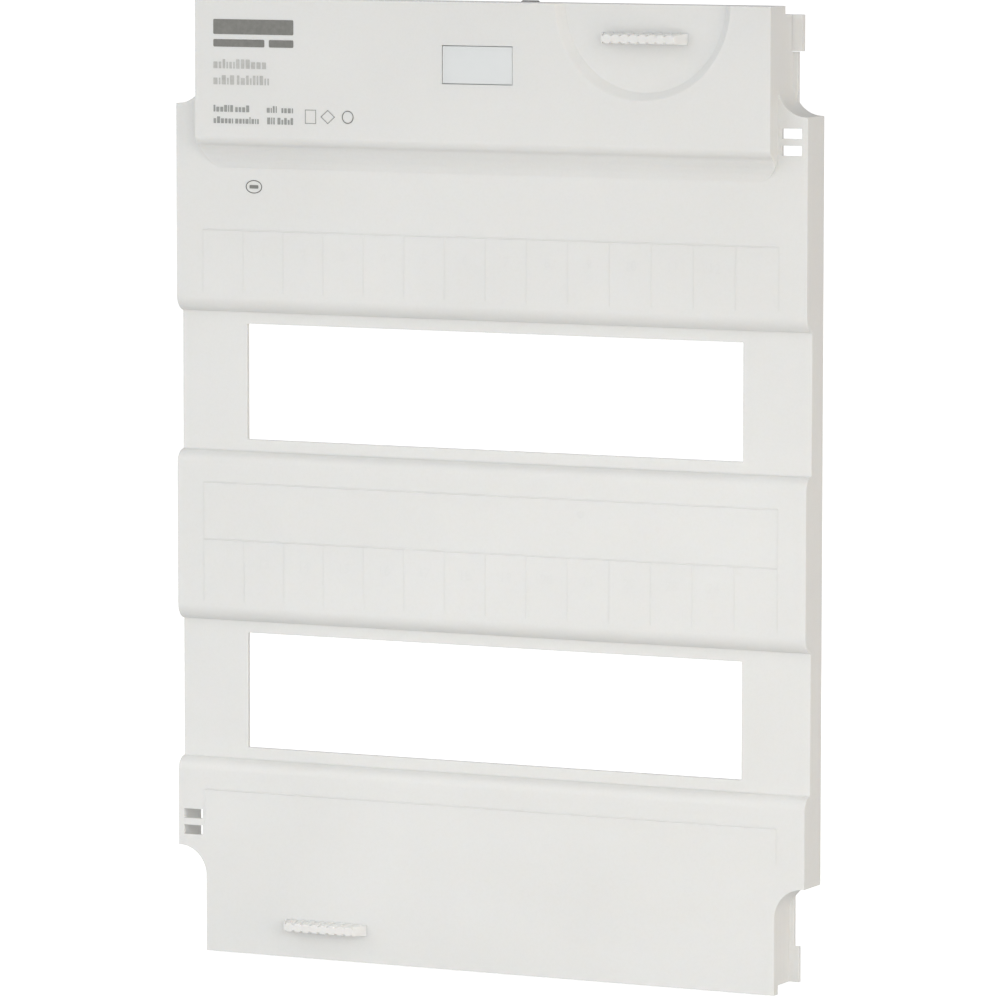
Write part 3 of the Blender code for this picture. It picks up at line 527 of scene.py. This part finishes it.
def raised_box(inset, rear):
    """The box across the top, with its sloped underside and rounded lower corners, down to rear."""
    both = SLOPE_TURN + SLOPE_RUN_OUT
    turn = math.acos(1 - (BOX - BAND) / both)
    degrees = math.degrees(turn)
    side = [(rear, TOP - inset), (inset - BOX, TOP - inset)]
    bend = (SLOPE_TURN - BOX, SLOPE_BASE + both * math.sin(turn))
    side += arc(bend, SLOPE_TURN - inset, 180, 180 + degrees, 18)
    side += arc((-BAND - SLOPE_RUN_OUT, SLOPE_BASE), SLOPE_RUN_OUT + inset, degrees, 0, 24)
    side = without_repeats(side + [(rear, SLOPE_BASE)])
    low, across = SLOPE_BASE + 0.6, NOTCH_X - BOX_CORNER
    plan = [(across - 3.0, low - 1.0 + inset)]
    plan += arc((across, low + BOX_CORNER), BOX_CORNER - inset, 270, 360, 14)
    plan += [(NOTCH_X - inset, TOP + PAST)]
    plan += [(-x, z) for x, z in reversed(plan)]
    wide = HALF_WIDTH + 2 * PAST
    return combined(prism(side, -wide, wide, "YZ"), ("INTERSECT", [prism(plan, -BOX - PAST, 2 * PAST)]))


def edge_parts(turn):
    """Rear flanges at both sides of the upper corners, and the fixed lug that stands past the left one."""
    top = TOP - REBATE
    parts = []
    for side, high in ((-1, top), (1, top - LUG_HEIGHT - GAP)):
        xs = sorted((side * (NOTCH_X - 1.0), side * FLANGE_X))
        low = (xs[0], -FLANGE_THICKNESS, TOP - NOTCH_HEIGHT + 2.0)
        parts.append(box(low, (xs[1], 0.0, high), turn))
    parts.append(box((-LUG_X, -LUG_THICKNESS, top - LUG_HEIGHT), (1.0 - NOTCH_X, 0.0, top), turn))
    return parts


def ribs_and_posts():
    """Upright ribs beside the bays, one rib across each band, and three round posts."""
    parts = []
    for x in SIDE_RIBS:
        low = (x - RIB_HALF, 1.0 - BAY, -SIDE_RIB_REACH)
        parts.append(box(low, (x + RIB_HALF, -3.0, SIDE_RIB_REACH)))
    for z in CROSS_RIBS:
        low = (-CROSS_RIB_REACH, 1.0 - BAND, z - RIB_HALF)
        parts.append(box(low, (CROSS_RIB_REACH, -10.0, z + RIB_HALF)))
    return parts + [rod((x, 1.0 - BAND, 0.0), (0, 1, 0), BAND - 1.0, POST_RADIUS) for x in POSTS]


def window_pocket():
    """Four walls round the window's card, with a snap nose on each side wall."""
    across, up = WINDOW_WIDTH / 2 + POCKET_LIP, WINDOW_HEIGHT / 2 + POCKET_LIP
    rear, near = POCKET_DEPTH - BOX, WALL - BOX - 0.5
    parts = []
    for side in (-1, 1):
        xs = sorted((side * across, side * (across + POCKET_WALL)))
        low = (xs[0], near, WINDOW_Z - up - POCKET_WALL)
        parts.append(box(low, (xs[1], rear, WINDOW_Z + up + POCKET_WALL)))
        zs = sorted((WINDOW_Z + side * up, WINDOW_Z + side * (up + POCKET_WALL)))
        low = (-across - POCKET_WALL, near, zs[0])
        parts.append(box(low, (across + POCKET_WALL, rear, zs[1])))
        xs = sorted((side * (across - 0.7), side * (across + 0.9)))
        parts.append(box((xs[0], rear - 0.9, WINDOW_Z - 3.0), (xs[1], rear, WINDOW_Z + 3.0)))
    return parts


def cover_additions():
    """What is moulded on behind the front wall: flanges, lugs, ribs, posts, pocket, seats and bosses."""
    added = edge_parts(Matrix()) + edge_parts(half_turn()) + ribs_and_posts() + window_pocket()
    outline = arc((LATCH_X, TOP - 1.0), RECESS_RADIUS + WALL, 180, 360, 48)
    added.append(prism(outline, WALL - BOX - 0.5, WALL + RECESS_DEPTH - BOX))
    for turn, depth in latch_frames():
        for x in GUIDE_X:
            added += [rod((x, 1.2, z), (0, 1, 0), 6.1, BOSS_RADIUS, turn=turn) for z in BOSS_Z]
        front = 1.2 if depth == BAND else WALL - BOX + depth - 0.5
        added.append(box((SEAT_X[0], front, SEAT_Z[0]), (SEAT_X[1], BAR_REAR, SEAT_Z[1]), turn))
        start = (SEAT_X[1] - 1.0, SPRING_Y, SPRING_Z)
        added.append(rod(start, (1, 0, 0), 5.0, SPIGOT_RADIUS, segments=20, turn=turn))
    return added


def recess_cut():
    """The half-round finger recess, with a rounded rim at the front and a small round at its floor."""
    edge, inner, rounding = RECESS_RADIUS + 0.497, RECESS_RADIUS - RECESS_DEPTH, 1.2
    angles = [math.radians(5 + 8 * i) for i in range(6)]
    profile = [(0.0, -4.0), (RECESS_RADIUS + 2.0, -4.0), (RECESS_RADIUS + 2.0, -0.05)]
    profile += [(edge - rounding * math.sin(a), rounding - rounding * math.cos(a)) for a in angles]
    profile += [(inner + 0.25, RECESS_DEPTH - 0.25), (inner - 0.2, RECESS_DEPTH), (0.0, RECESS_DEPTH)]
    return lathe(profile, Matrix.Translation((LATCH_X, -BOX, TOP)), 160)


def cover_cuts():
    """What is cut through the front wall: rows, seal slots, window, recess, latch and clip openings."""
    cuts = []
    for row in ROWS:
        low, high = row - CUT_HEIGHT / 2, row + CUT_HEIGHT / 2
        cuts.append(box((-CUT_WIDTH / 2, -BOX, low), (CUT_WIDTH / 2, 0.0, high)))
    for turn in (Matrix(), half_turn()):
        for z in (SLOT_Z - SLOT_PITCH / 2, SLOT_Z + SLOT_PITCH / 2):
            low, high = z - SLOT_HEIGHT / 2, z + SLOT_HEIGHT / 2
            cuts.append(box((SLOT_X[0], -BAND - PAST, low), (SLOT_X[1], PAST - BAND, high), turn))
        z = TOP - REBATE
        low, high = z - WALL - 1.0, z + 1.0
        cuts.append(box((CLIP_X[0] - GAP, -1.2, low), (CLIP_X[1] + GAP, PAST, high), turn))
    across, up = WINDOW_WIDTH / 2, WINDOW_HEIGHT / 2
    cuts.append(box((-across, -BOX - PAST, WINDOW_Z - up), (across, WALL - BOX + 1.0, WINDOW_Z + up)))
    cuts.append(recess_cut())
    for turn, depth in latch_frames():
        cuts.append(box((-14.3, -PAST, -1.5), (9.3, WALL + 1.0, 1.5), turn))
        for x in GUIDE_X:
            places = [(x, 7.3 - 4.8, z) for z in BOSS_Z]
            cuts += [rod(start, (0, 1, 0), 4.8 + PAST, 1.2, segments=24, turn=turn) for start in places]
        cuts.append(box((44.7, depth - 2.9, -4.8), (LUG_X - LATCH_X + PAST, depth + PAST, 15.0), turn))
    return cuts


def latch_frames():
    """A latch's frame and how deep the floor under its grip lies before the rear rim."""
    top = Matrix.Translation((LATCH_X, RECESS_DEPTH - BOX, LATCH_Z))
    bottom = half_turn() @ Matrix.Translation((LATCH_X, -BAND, LATCH_Z))
    return ((top, BOX - RECESS_DEPTH), (bottom, BAND))


def ridge(shape, start, end, width, height):
    """A low moulded line on a band's face, with sloped sides."""
    along = Vector((end[0] - start[0], 0.0, end[1] - start[1]))
    across = Vector((along.z, 0.0, -along.x)).normalized() * (width / 2)
    rings = []
    for x, z in (start, end):
        foot, crest = Vector((x, 0.05 - BAND, z)), Vector((x, -BAND - height, z))
        corners = (foot - across * 1.7, crest - across * 0.3, crest + across * 0.3, foot + across * 1.7)
        rings.append([shape.verts.new(p) for p in corners])
    for i in range(4):
        shape.faces.new((rings[0][i], rings[0][(i + 1) % 4], rings[1][(i + 1) % 4], rings[1][i]))
    shape.faces.new(rings[0])
    shape.faces.new(rings[1])


def build_fields(finish):
    """Moulded label fields above and below each row."""
    reach = PLACES // 2 * PLACE_PITCH
    shape = bmesh.new()
    for row in ROWS:
        top, foot, under = row + 61.2, row + 36.0, row - 40.7
        for z in (top, under):
            ridge(shape, (-FIELD_X, z), (FIELD_X, z), *LINE)
        for x in (-FIELD_X, *range(-reach, reach + 1, PLACE_PITCH), FIELD_X):
            ridge(shape, (x, foot), (x, top - 0.1), *FAINT_LINE)
        for x in (-FIELD_X, FIELD_X):
            ridge(shape, (x, under - (14.0 if row < 0 else 23.0)), (x, under - 0.1), *FAINT_LINE)
    bmesh.ops.recalc_face_normals(shape, faces=shape.faces)
    piece("label_fields", to_mesh(shape), finish)


def build_gate_mark(finish):
    """A small low ring on the middle band."""
    section = ((1.45, 0.05), (1.3, -0.06), (1.1, -0.06), (0.95, 0.05))
    shape = bmesh.new()
    rings = []
    for t in full_turn(48):
        points = [(GATE_X + r * math.cos(t), y - BAND, GATE_Z + r * math.sin(t)) for r, y in section]
        rings.append([shape.verts.new(p) for p in points])
    for one, two in zip(rings, rings[1:] + rings[:1]):
        for i in range(4):
            shape.faces.new((one[i], one[(i + 1) % 4], two[(i + 1) % 4], two[i]))
    bmesh.ops.recalc_face_normals(shape, faces=shape.faces)
    piece("gate_mark", to_mesh(shape), finish)


def build_cover(finish):
    """The whole moulding: an outer shape, hollowed from behind, then its additions and its cuts."""
    wide = HALF_WIDTH + 2 * PAST
    hollow = combined(
        prism(side_profile(WALL, PAST), -wide, wide, "YZ"),
        ("INTERSECT", [prism(plan_outline(WALL), -BOX - PAST, 2 * PAST)]),
    )
    shell = combined(
        prism(side_profile(0.0, 0.0), -wide, wide, "YZ"),
        ("INTERSECT", [prism(plan_outline(0.0), -BOX - PAST, PAST)]),
        ("UNION", [raised_box(0.0, 1.0 - BAND)]),
        ("DIFFERENCE", [hollow]),
        ("DIFFERENCE", [raised_box(WALL, WALL - BAND + 1.5)]),
        ("UNION", cover_additions()),
        ("DIFFERENCE", cover_cuts()),
    )
    piece("cover", softened(shell, 0.3), finish, nodes=["cover_panel"])


# ---------------------------------------------------------------- small parts


def fluted_ring(length, height, y, depth):
    """A long rectangle whose long sides carry pads with round grooves between, as points round its edge."""
    pads = FLUTES * FLUTE_PITCH / 2
    stretch = min(1.0, (length / 2 - 0.5) / pads)
    top, steps = [], 16
    for i in range(FLUTES * steps + 1):
        off = ((i + steps / 2) % steps - steps / 2) / steps * FLUTE_PITCH
        inside = max(0.0, 1 - (2 * off / FLUTE_WIDTH) ** 2)
        crown = 0.10 * (1 - math.cos(2 * math.pi * i / steps)) / 2
        x = (i / steps * FLUTE_PITCH - pads) * stretch
        top.append((x, height / 2 - 0.10 + crown - depth * math.sqrt(inside)))
    end, low = length / 2, height / 2 - 0.10
    corner = [(end - 0.35, low), (end - 0.1, low - 0.1), (end, low - 0.35)]
    right = [*corner, *((x, -z) for x, z in reversed(corner))]
    left = [(-x, -z) for x, z in right]
    ring = top + right + [(x, -z) for x, z in reversed(top)] + left
    return [(x, y, z) for x, z in ring]


def build_grip(name, turn, finish):
    """A tapered, fluted finger piece with a rounded front edge, its blade and its barb."""
    rings = []
    for step in range(9):
        share = step / 8
        y = -0.04 - (GRIP_HEIGHT - GRIP_ROUND - 0.04) * share
        length = GRIP_BASE[0] + (GRIP_TIP[0] - GRIP_BASE[0]) * share
        height = GRIP_BASE[1] + (GRIP_TIP[1] - GRIP_BASE[1]) * share
        rings.append(fluted_ring(length, height, y, FLUTE_DEPTH))
    for angle in (22, 45, 68, 90):
        back = GRIP_ROUND * (1 - math.cos(math.radians(angle)))
        y = GRIP_ROUND - GRIP_HEIGHT - GRIP_ROUND * math.sin(math.radians(angle))
        length, height = GRIP_TIP[0] - 2 * back, GRIP_TIP[1] - 2 * back
        rings.append(fluted_ring(length, height, y, FLUTE_DEPTH - back * 0.4))
    blade = box((-BLADE[0], -2.0, -BLADE[1]), (BLADE[0], 7.5, BLADE[1]))
    barb = box((-BARB[0], 7.2, -BARB[1]), (BARB[0], 8.4, BARB[1]))
    head = combined(loft(rings), ("UNION", [softened(blade, 0.2)]), ("UNION", [softened(barb, 0.25)]))
    head.transform(turn)
    piece(f"{name}_finger_grip", head, finish, name, [f"{name}_grip"], 30)


def build_spring(name, turn, finish):
    """A compression spring with flat end turns, running from its fixed seat to the slide bar's end."""
    curve = bpy.data.curves.new("wire", "CURVE")
    curve.dimensions = "3D"
    curve.bevel_depth = WIRE_RADIUS
    curve.bevel_resolution = 4
    curve.use_fill_caps = True
    steps, flat = 28, 2.1 * WIRE_RADIUS
    pitch = (SPRING_X[1] - SPRING_X[0] - 2 * flat) / (SPRING_TURNS - 2)
    spline = curve.splines.new("POLY")
    spline.points.add(SPRING_TURNS * steps)
    x = SPRING_X[0]
    for i, point in enumerate(spline.points):
        angle = 2 * math.pi * i / steps
        y = SPRING_Y + SPRING_RADIUS * math.cos(angle)
        point.co = (x, y, SPRING_Z + SPRING_RADIUS * math.sin(angle), 1.0)
        x += (flat if i < steps or i >= (SPRING_TURNS - 1) * steps else pitch) / steps
    mesh = mesh_of(link(bpy.data.objects.new("wire", curve)))
    mesh.transform(turn)
    mesh, nodes = tidy(mesh, 0.01), [f"{name}_spring"]
    spring = piece(f"{name}_return_spring", mesh, finish, "panel", nodes, 60)
    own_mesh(spring)


def screw_mesh():
    """A pan-head self-tapping screw along Y, head towards +Y, with a cross recess and a rolled thread."""
    head = [(0.0, 1.4), (0.8, 1.36), (1.4, 1.22), (1.8, 0.95)]
    head += [(2.05, 0.55), (2.1, 0.25), (2.1, 0.0), (1.05, 0.0)]
    for i in range(8):
        y = -0.5 - 0.55 * i
        head += [(0.86, y - 0.14), (1.05, y - 0.275), (0.86, y - 0.41)]
    head += [(0.86, -4.95), (0.3, -5.9), (0.0, -6.0)]
    cross = [box((-a, 0.6, -b), (a, 2.0, b)) for a, b in ((1.25, 0.3), (0.3, 1.25))]
    return combined(lathe(head, segments=36), ("DIFFERENCE", [cross[0]]), ("DIFFERENCE", [cross[1]]))


def build_screws(name, turn, finish):
    """Four screws to a latch, each stopped at its own angle."""
    base = screw_mesh()
    for place, x in zip(("inner", "outer"), GUIDE_X):
        for side, z in zip(("lower", "upper"), BOSS_Z):
            mesh = base.copy()
            spin = Matrix.Rotation(math.radians(17 * (x + z)), 4, "Y")
            mesh.transform(turn @ Matrix.Translation((x, GUIDE_REAR + 0.1, z)) @ spin)
            node = f"{name}_{place}_{side}_screw"
            piece(f"{node}_turned", mesh, finish, "panel", [node], 28)


def build_clip(name, turn, finish):
    """A strip folded round the end wall's rear edge, its outer leg arched outwards in one smooth bend."""
    wall = TOP - REBATE
    outer, inner, peak = wall + 0.35, wall - WALL - 0.35, CLIP_PEAK - 0.25
    legs = [(-6.5, inner), (-3.8, inner)] + arc((-1.25, inner + 0.4), 0.4, 270, 360, 5)
    legs += arc((-1.25, outer - 0.4), 0.4, 0, 90, 5)
    legs += [(-1.9, outer + 0.35), (-2.6, peak - 0.25), (-3.3, peak - 0.03), (-4.0, peak)]
    legs += [(-4.9, peak - 0.12), (-5.9, peak - 0.5), (-7.2, peak - 1.5)]
    legs += [(-8.3, outer + 0.45), (-8.7, outer + 0.3)]
    shape = bmesh.new()
    rows = [[shape.verts.new((x, y, z)) for y, z in legs] for x in CLIP_X]
    for i in range(len(legs) - 1):
        shape.faces.new((rows[0][i], rows[0][i + 1], rows[1][i + 1], rows[1][i]))
    settings = dict(thickness=CLIP_THICKNESS, offset=0.0, use_even_offset=True)
    bevel = dict(width=0.08, segments=2, limit_method="ANGLE", angle_limit=math.radians(50))
    mesh = with_modifiers(to_mesh(shape), ("SOLIDIFY", settings), ("BEVEL", bevel))
    mesh.transform(turn)
    piece(f"{name}_spring_strip", mesh, finish, "panel", [name], 40)


def refined(node, name, finish, body, width):
    """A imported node's own shape with its sharp edges rounded."""
    mesh = frame["nodes"][node].data.copy()
    mesh.transform(Matrix.Scale(1 / MM, 4))
    piece(name, softened(mesh, width, convex=True), finish, body, [node])


def thin_shapes(name, outlines, y, height, finish):
    """Flat shapes standing a few hundredths proud of a face at y, as one piece."""
    shape = bmesh.new()
    for outline in outlines:
        shape.from_mesh(prism(outline, y - height, y + 0.02))
    piece(name, to_mesh(shape), finish)


def bar(x0, z0, x1, z1, radius):
    """A filled bar's outline with rounded corners."""
    left, right, low, high = x0 + radius, x1 - radius, z0 + radius, z1 - radius
    points = []
    for centre, start in (((right, low), 270), ((right, high), 0), ((left, high), 90), ((left, low), 180)):
        points += arc(centre, radius, start, start + 90, 4)
    return points


def frame_strips(points, width):
    """Thin strips along a closed outline."""
    strips = []
    for (ax, az), (bx, bz) in zip(points, points[1:] + points[:1]):
        length = math.hypot(bx - ax, bz - az)
        ux, uz = (bx - ax) / length, (bz - az) / length
        nx, nz = -uz * width / 2, ux * width / 2
        ax, az, bx, bz = ax - ux * width / 3, az - uz * width / 3, bx + ux * width / 3, bz + uz * width / 3
        strips.append([(ax + nx, az + nz), (bx + nx, bz + nz), (bx - nx, bz - nz), (ax - nx, az - nz)])
    return strips


def oval(x, z, radius, across=1.0):
    return [(x + radius * across * math.cos(a), z + radius * math.sin(a)) for a in full_turn(40)]


def dashes(x0, x1, z, height, seed):
    """A word's worth of small upright dashes of uneven width, which spell nothing."""
    chance, found, x = random.Random(seed), [], x0
    while x < x1 - 0.4:
        wide = min(chance.choice((0.5, 0.8, 1.1, 1.3)) * height / 2.6, x1 - x)
        tall = height * chance.choice((0.72, 0.72, 1.0))
        found.append(bar(x, z - height / 2, x + wide, z - height / 2 + tall, min(0.15, wide / 3)))
        x += wide + 0.16 * height
    return found


def printed_lines(lines, height):
    """Dashes along lines, each a height above the base and the stretches that it fills."""
    found = []
    for z, words in lines:
        for start, end in words:
            found += dashes(PRINT_X + start, PRINT_X + end, z, height, round(z * 10 + end))
    return found


def build_print():
    """Plain bars, dashes and outline shapes where a maker would print its particulars."""
    dark, pale = ink("ink_dark", (0.22, 0.22, 0.205)), ink("ink_pale", (0.54, 0.54, 0.52))
    fine = ink("ink_fine", (0.34, 0.35, 0.335))
    x = PRINT_X
    block = [bar(x, 202.4, x + 36.0, 208.4, 0.5), bar(x, 197.4, x + 23.0, 200.4, 0.5)]
    block.append(bar(x + 25.0, 197.4, x + 36.0, 200.4, 0.5))
    thin_shapes("print_block", block, -BOX, INK, dark)
    large = ((190.6, ((0, 24.6),)), (184.2, ((0, 9.4), (10.6, 25.4))))
    thin_shapes("print_lines", printed_lines(large, 3.7), -BOX, INK, pale)
    upper = (172.8, ((0, 8.8), (9.8, 16.6), (24.0, 28.6), (30.6, 35.8)))
    lower = (168.2, ((0, 8.8), (9.8, 20.4), (24.2, 27.6), (28.8, 35.8)))
    thin_shapes("print_dashes", printed_lines((upper, lower), 2.7), -BOX, INK, fine)
    marks = frame_strips([(-75.9, 167.6), (-71.3, 167.6), (-71.3, 172.9), (-75.9, 172.9)], 0.3)
    marks += frame_strips([(-65.9, 167.7), (-62.9, 170.3), (-65.9, 172.9), (-68.9, 170.3)], 0.35)
    marks += frame_strips(oval(-57.0, 170.4, 2.4), 0.35)
    thin_shapes("print_outlines", marks, -BOX, INK, fine)
    ring = frame_strips(oval(-103.0, 141.3, 2.5, 1.4), 0.35) + [bar(-105.0, 140.6, -101.0, 142.0, 0.3)]
    thin_shapes("print_ring", ring, -BAND, INK, dark)


def build_numbers(finish):
    """Raised numbers of the device places, 1 to 12 over the upper row and 13 to 24 over the lower."""
    shape = bmesh.new()
    for row, first in zip(ROWS, (1, 1 + PLACES)):
        for i in range(PLACES):
            text = bpy.data.curves.new("number", "FONT")
            text.body = str(first + i)
            text.size = 5.6
            text.extrude = 0.05
            text.align_x = "CENTER"
            text.resolution_u = 3
            x = PLACE_PITCH * (i - (PLACES - 1) / 2)
            part = mesh_of(link(bpy.data.objects.new("number", text)))
            part.transform(Matrix.Translation((x, -BAND, row + 50.2)) @ Matrix.Rotation(math.pi / 2, 4, "X"))
            shape.from_mesh(part)
    bmesh.ops.remove_doubles(shape, verts=shape.verts, dist=1e-4)
    piece("cell_numbers", to_mesh(shape), finish)


# ---------------------------------------------------------------- studio


def make_camera():
    """Looks at the cover from the right and slightly above, far off through a long lens."""
    yaw, pitch, roll = (math.radians(angle) for angle in CAMERA_TURN)
    level = Vector((-math.sin(yaw), math.cos(yaw), 0.0))
    forward = level * math.cos(pitch) - Vector((0.0, 0.0, math.sin(pitch)))
    right = Vector((math.cos(yaw), math.sin(yaw), 0.0))
    up = right.cross(forward)
    turned_right = right * math.cos(roll) + up * math.sin(roll)
    turned_up = up * math.cos(roll) - right * math.sin(roll)
    data = bpy.data.cameras.new("camera")
    data.sensor_width = 36.0
    data.lens = CAMERA_LENS
    data.clip_start = 0.1
    data.clip_end = 200.0
    camera = link(bpy.data.objects.new("camera", data))
    axes = Matrix((turned_right, turned_up, -forward)).transposed().to_4x4()
    place = (Vector(CAMERA_TARGET) - forward * CAMERA_DISTANCE) * MM
    camera.matrix_world = Matrix.Translation(place) @ axes
    bpy.context.scene.camera = camera


def softbox(name, place, size, power, colour=(1, 1, 1), aim=(0, 0, 0), spread=180):
    """An area light, not itself seen by the camera. A small spread lights only what it is aimed at."""
    data = bpy.data.lights.new(name, "AREA")
    data.shape = "RECTANGLE"
    data.size, data.size_y = size
    data.energy = power
    data.color = colour
    data.spread = math.radians(spread)
    lamp = link(bpy.data.objects.new(name, data))
    lamp.location = place
    lamp.rotation_mode = "QUATERNION"
    lamp.rotation_quaternion = (Vector(aim) - Vector(place)).to_track_quat("-Z", "Y")
    lamp.visible_camera = False


def connect(links, *pairs):
    for source, target in pairs:
        links.new(source, target)


def make_world(strength, colour):
    """White to the camera, and a softer light to everything else."""
    world = bpy.data.worlds.new("studio")
    bpy.context.scene.world = world
    world.use_nodes = True
    nodes = world.node_tree.nodes
    nodes.clear()
    out, mix, path = (nodes.new(f"ShaderNode{kind}") for kind in ("OutputWorld", "MixShader", "LightPath"))
    lit, shown = nodes.new("ShaderNodeBackground"), nodes.new("ShaderNodeBackground")
    lit.inputs["Strength"].default_value = strength
    lit.inputs["Color"].default_value = (*colour, 1)
    shown.inputs["Strength"].default_value = 1.0
    shown.inputs["Color"].default_value = (1, 1, 1, 1)
    connect(
        world.node_tree.links,
        (path.outputs["Is Camera Ray"], mix.inputs[0]),
        (lit.outputs[0], mix.inputs[1]),
        (shown.outputs[0], mix.inputs[2]),
        (mix.outputs[0], out.inputs[0]),
    )


def make_floor():
    """A floor just under the object, near white to the camera and lighting the object as grey board would."""
    z, reach = CAD_BOX[0].z - 0.0004, 60.0
    corners = [(-reach, -reach, z), (reach, -reach, z), (reach, reach, z), (-reach, reach, z)]
    mesh = bpy.data.meshes.new("floor")
    mesh.from_pydata(corners, [], [(0, 1, 2, 3)])
    floor = link(bpy.data.objects.new("floor", mesh))
    material = bpy.data.materials.new("floor")
    material.use_nodes = True
    nodes = material.node_tree.nodes
    nodes.clear()
    out, path = nodes.new("ShaderNodeOutputMaterial"), nodes.new("ShaderNodeLightPath")
    mix = nodes.new("ShaderNodeMixShader")
    both, bounce = (nodes.new("ShaderNodeAddShader") for _ in range(2))
    seen, dull = (nodes.new("ShaderNodeBsdfDiffuse") for _ in range(2))
    glow, fill = (nodes.new("ShaderNodeEmission") for _ in range(2))
    seen.inputs["Color"].default_value = (0.75, 0.75, 0.75, 1)
    glow.inputs["Strength"].default_value = FLOOR_GLOW
    dull.inputs["Color"].default_value = (0.3, 0.3, 0.295, 1)
    fill.inputs["Strength"].default_value = FLOOR_FILL
    connect(
        material.node_tree.links,
        (path.outputs["Is Camera Ray"], mix.inputs[0]),
        (dull.outputs[0], bounce.inputs[0]),
        (fill.outputs[0], bounce.inputs[1]),
        (bounce.outputs[0], mix.inputs[1]),
        (both.outputs[0], mix.inputs[2]),
        (seen.outputs[0], both.inputs[0]),
        (glow.outputs[0], both.inputs[1]),
        (mix.outputs[0], out.inputs[0]),
    )
    mesh.materials.append(material)


# ---------------------------------------------------------------- assembly

make_camera()
white = moulded("cover_plastic", (0.79, 0.795, 0.785))
# A slightly darker copy of the cover plastic, without scatter, for the raised field lines, ring and numbers:
# painted shade, so that they read as faint dark lines
raised = moulded("raised_plastic_painted_shade", (0.78, 0.785, 0.775), scatter=0.0)
latch_plastic = moulded("latch_plastic", (0.82, 0.82, 0.81), 0.38, 0.004, 0.015)
steel = metal("spring_metal", (0.24, 0.24, 0.235), (0.33, 0.33, 0.32), 0.32, (1, 14, 1))
zinc = metal("zinc_metal", (0.50, 0.51, 0.52), (0.64, 0.65, 0.66), 0.26, (1, 6, 1))

build_cover(white)
build_fields(raised)
build_gate_mark(raised)
build_numbers(raised)
build_print()
refined("label_window", "window_pane", clear("window_clear"), "panel", 0.2)
refined("label_card", "window_card", paper("card_stock", (0.87, 0.90, 0.91)), "panel", 0.05)
refined("label_retainer", "window_retainer", latch_plastic, "panel", 0.2)
for latch, (turn, depth) in zip(("top_latch", "bottom_latch"), latch_frames()):
    build_grip(latch, turn, latch_plastic)
    build_spring(latch, turn, steel)
    build_screws(latch, turn, zinc)
    refined(f"{latch}_slider", f"{latch}_slide_bar", latch_plastic, latch, 0.25)
    for place in ("inner", "outer"):
        node, name = f"{latch}_{place}_guide", f"{latch}_{place}_plate"
        refined(node, name, latch_plastic, "panel", 0.25)
build_clip("top_centring_clip", Matrix(), steel)
build_clip("bottom_centring_clip", half_turn(), steel)

make_floor()
make_world(*WORLD)
for values in SOFTBOXES:
    softbox(*values)
bpy.context.scene.view_settings.view_transform = "Standard"
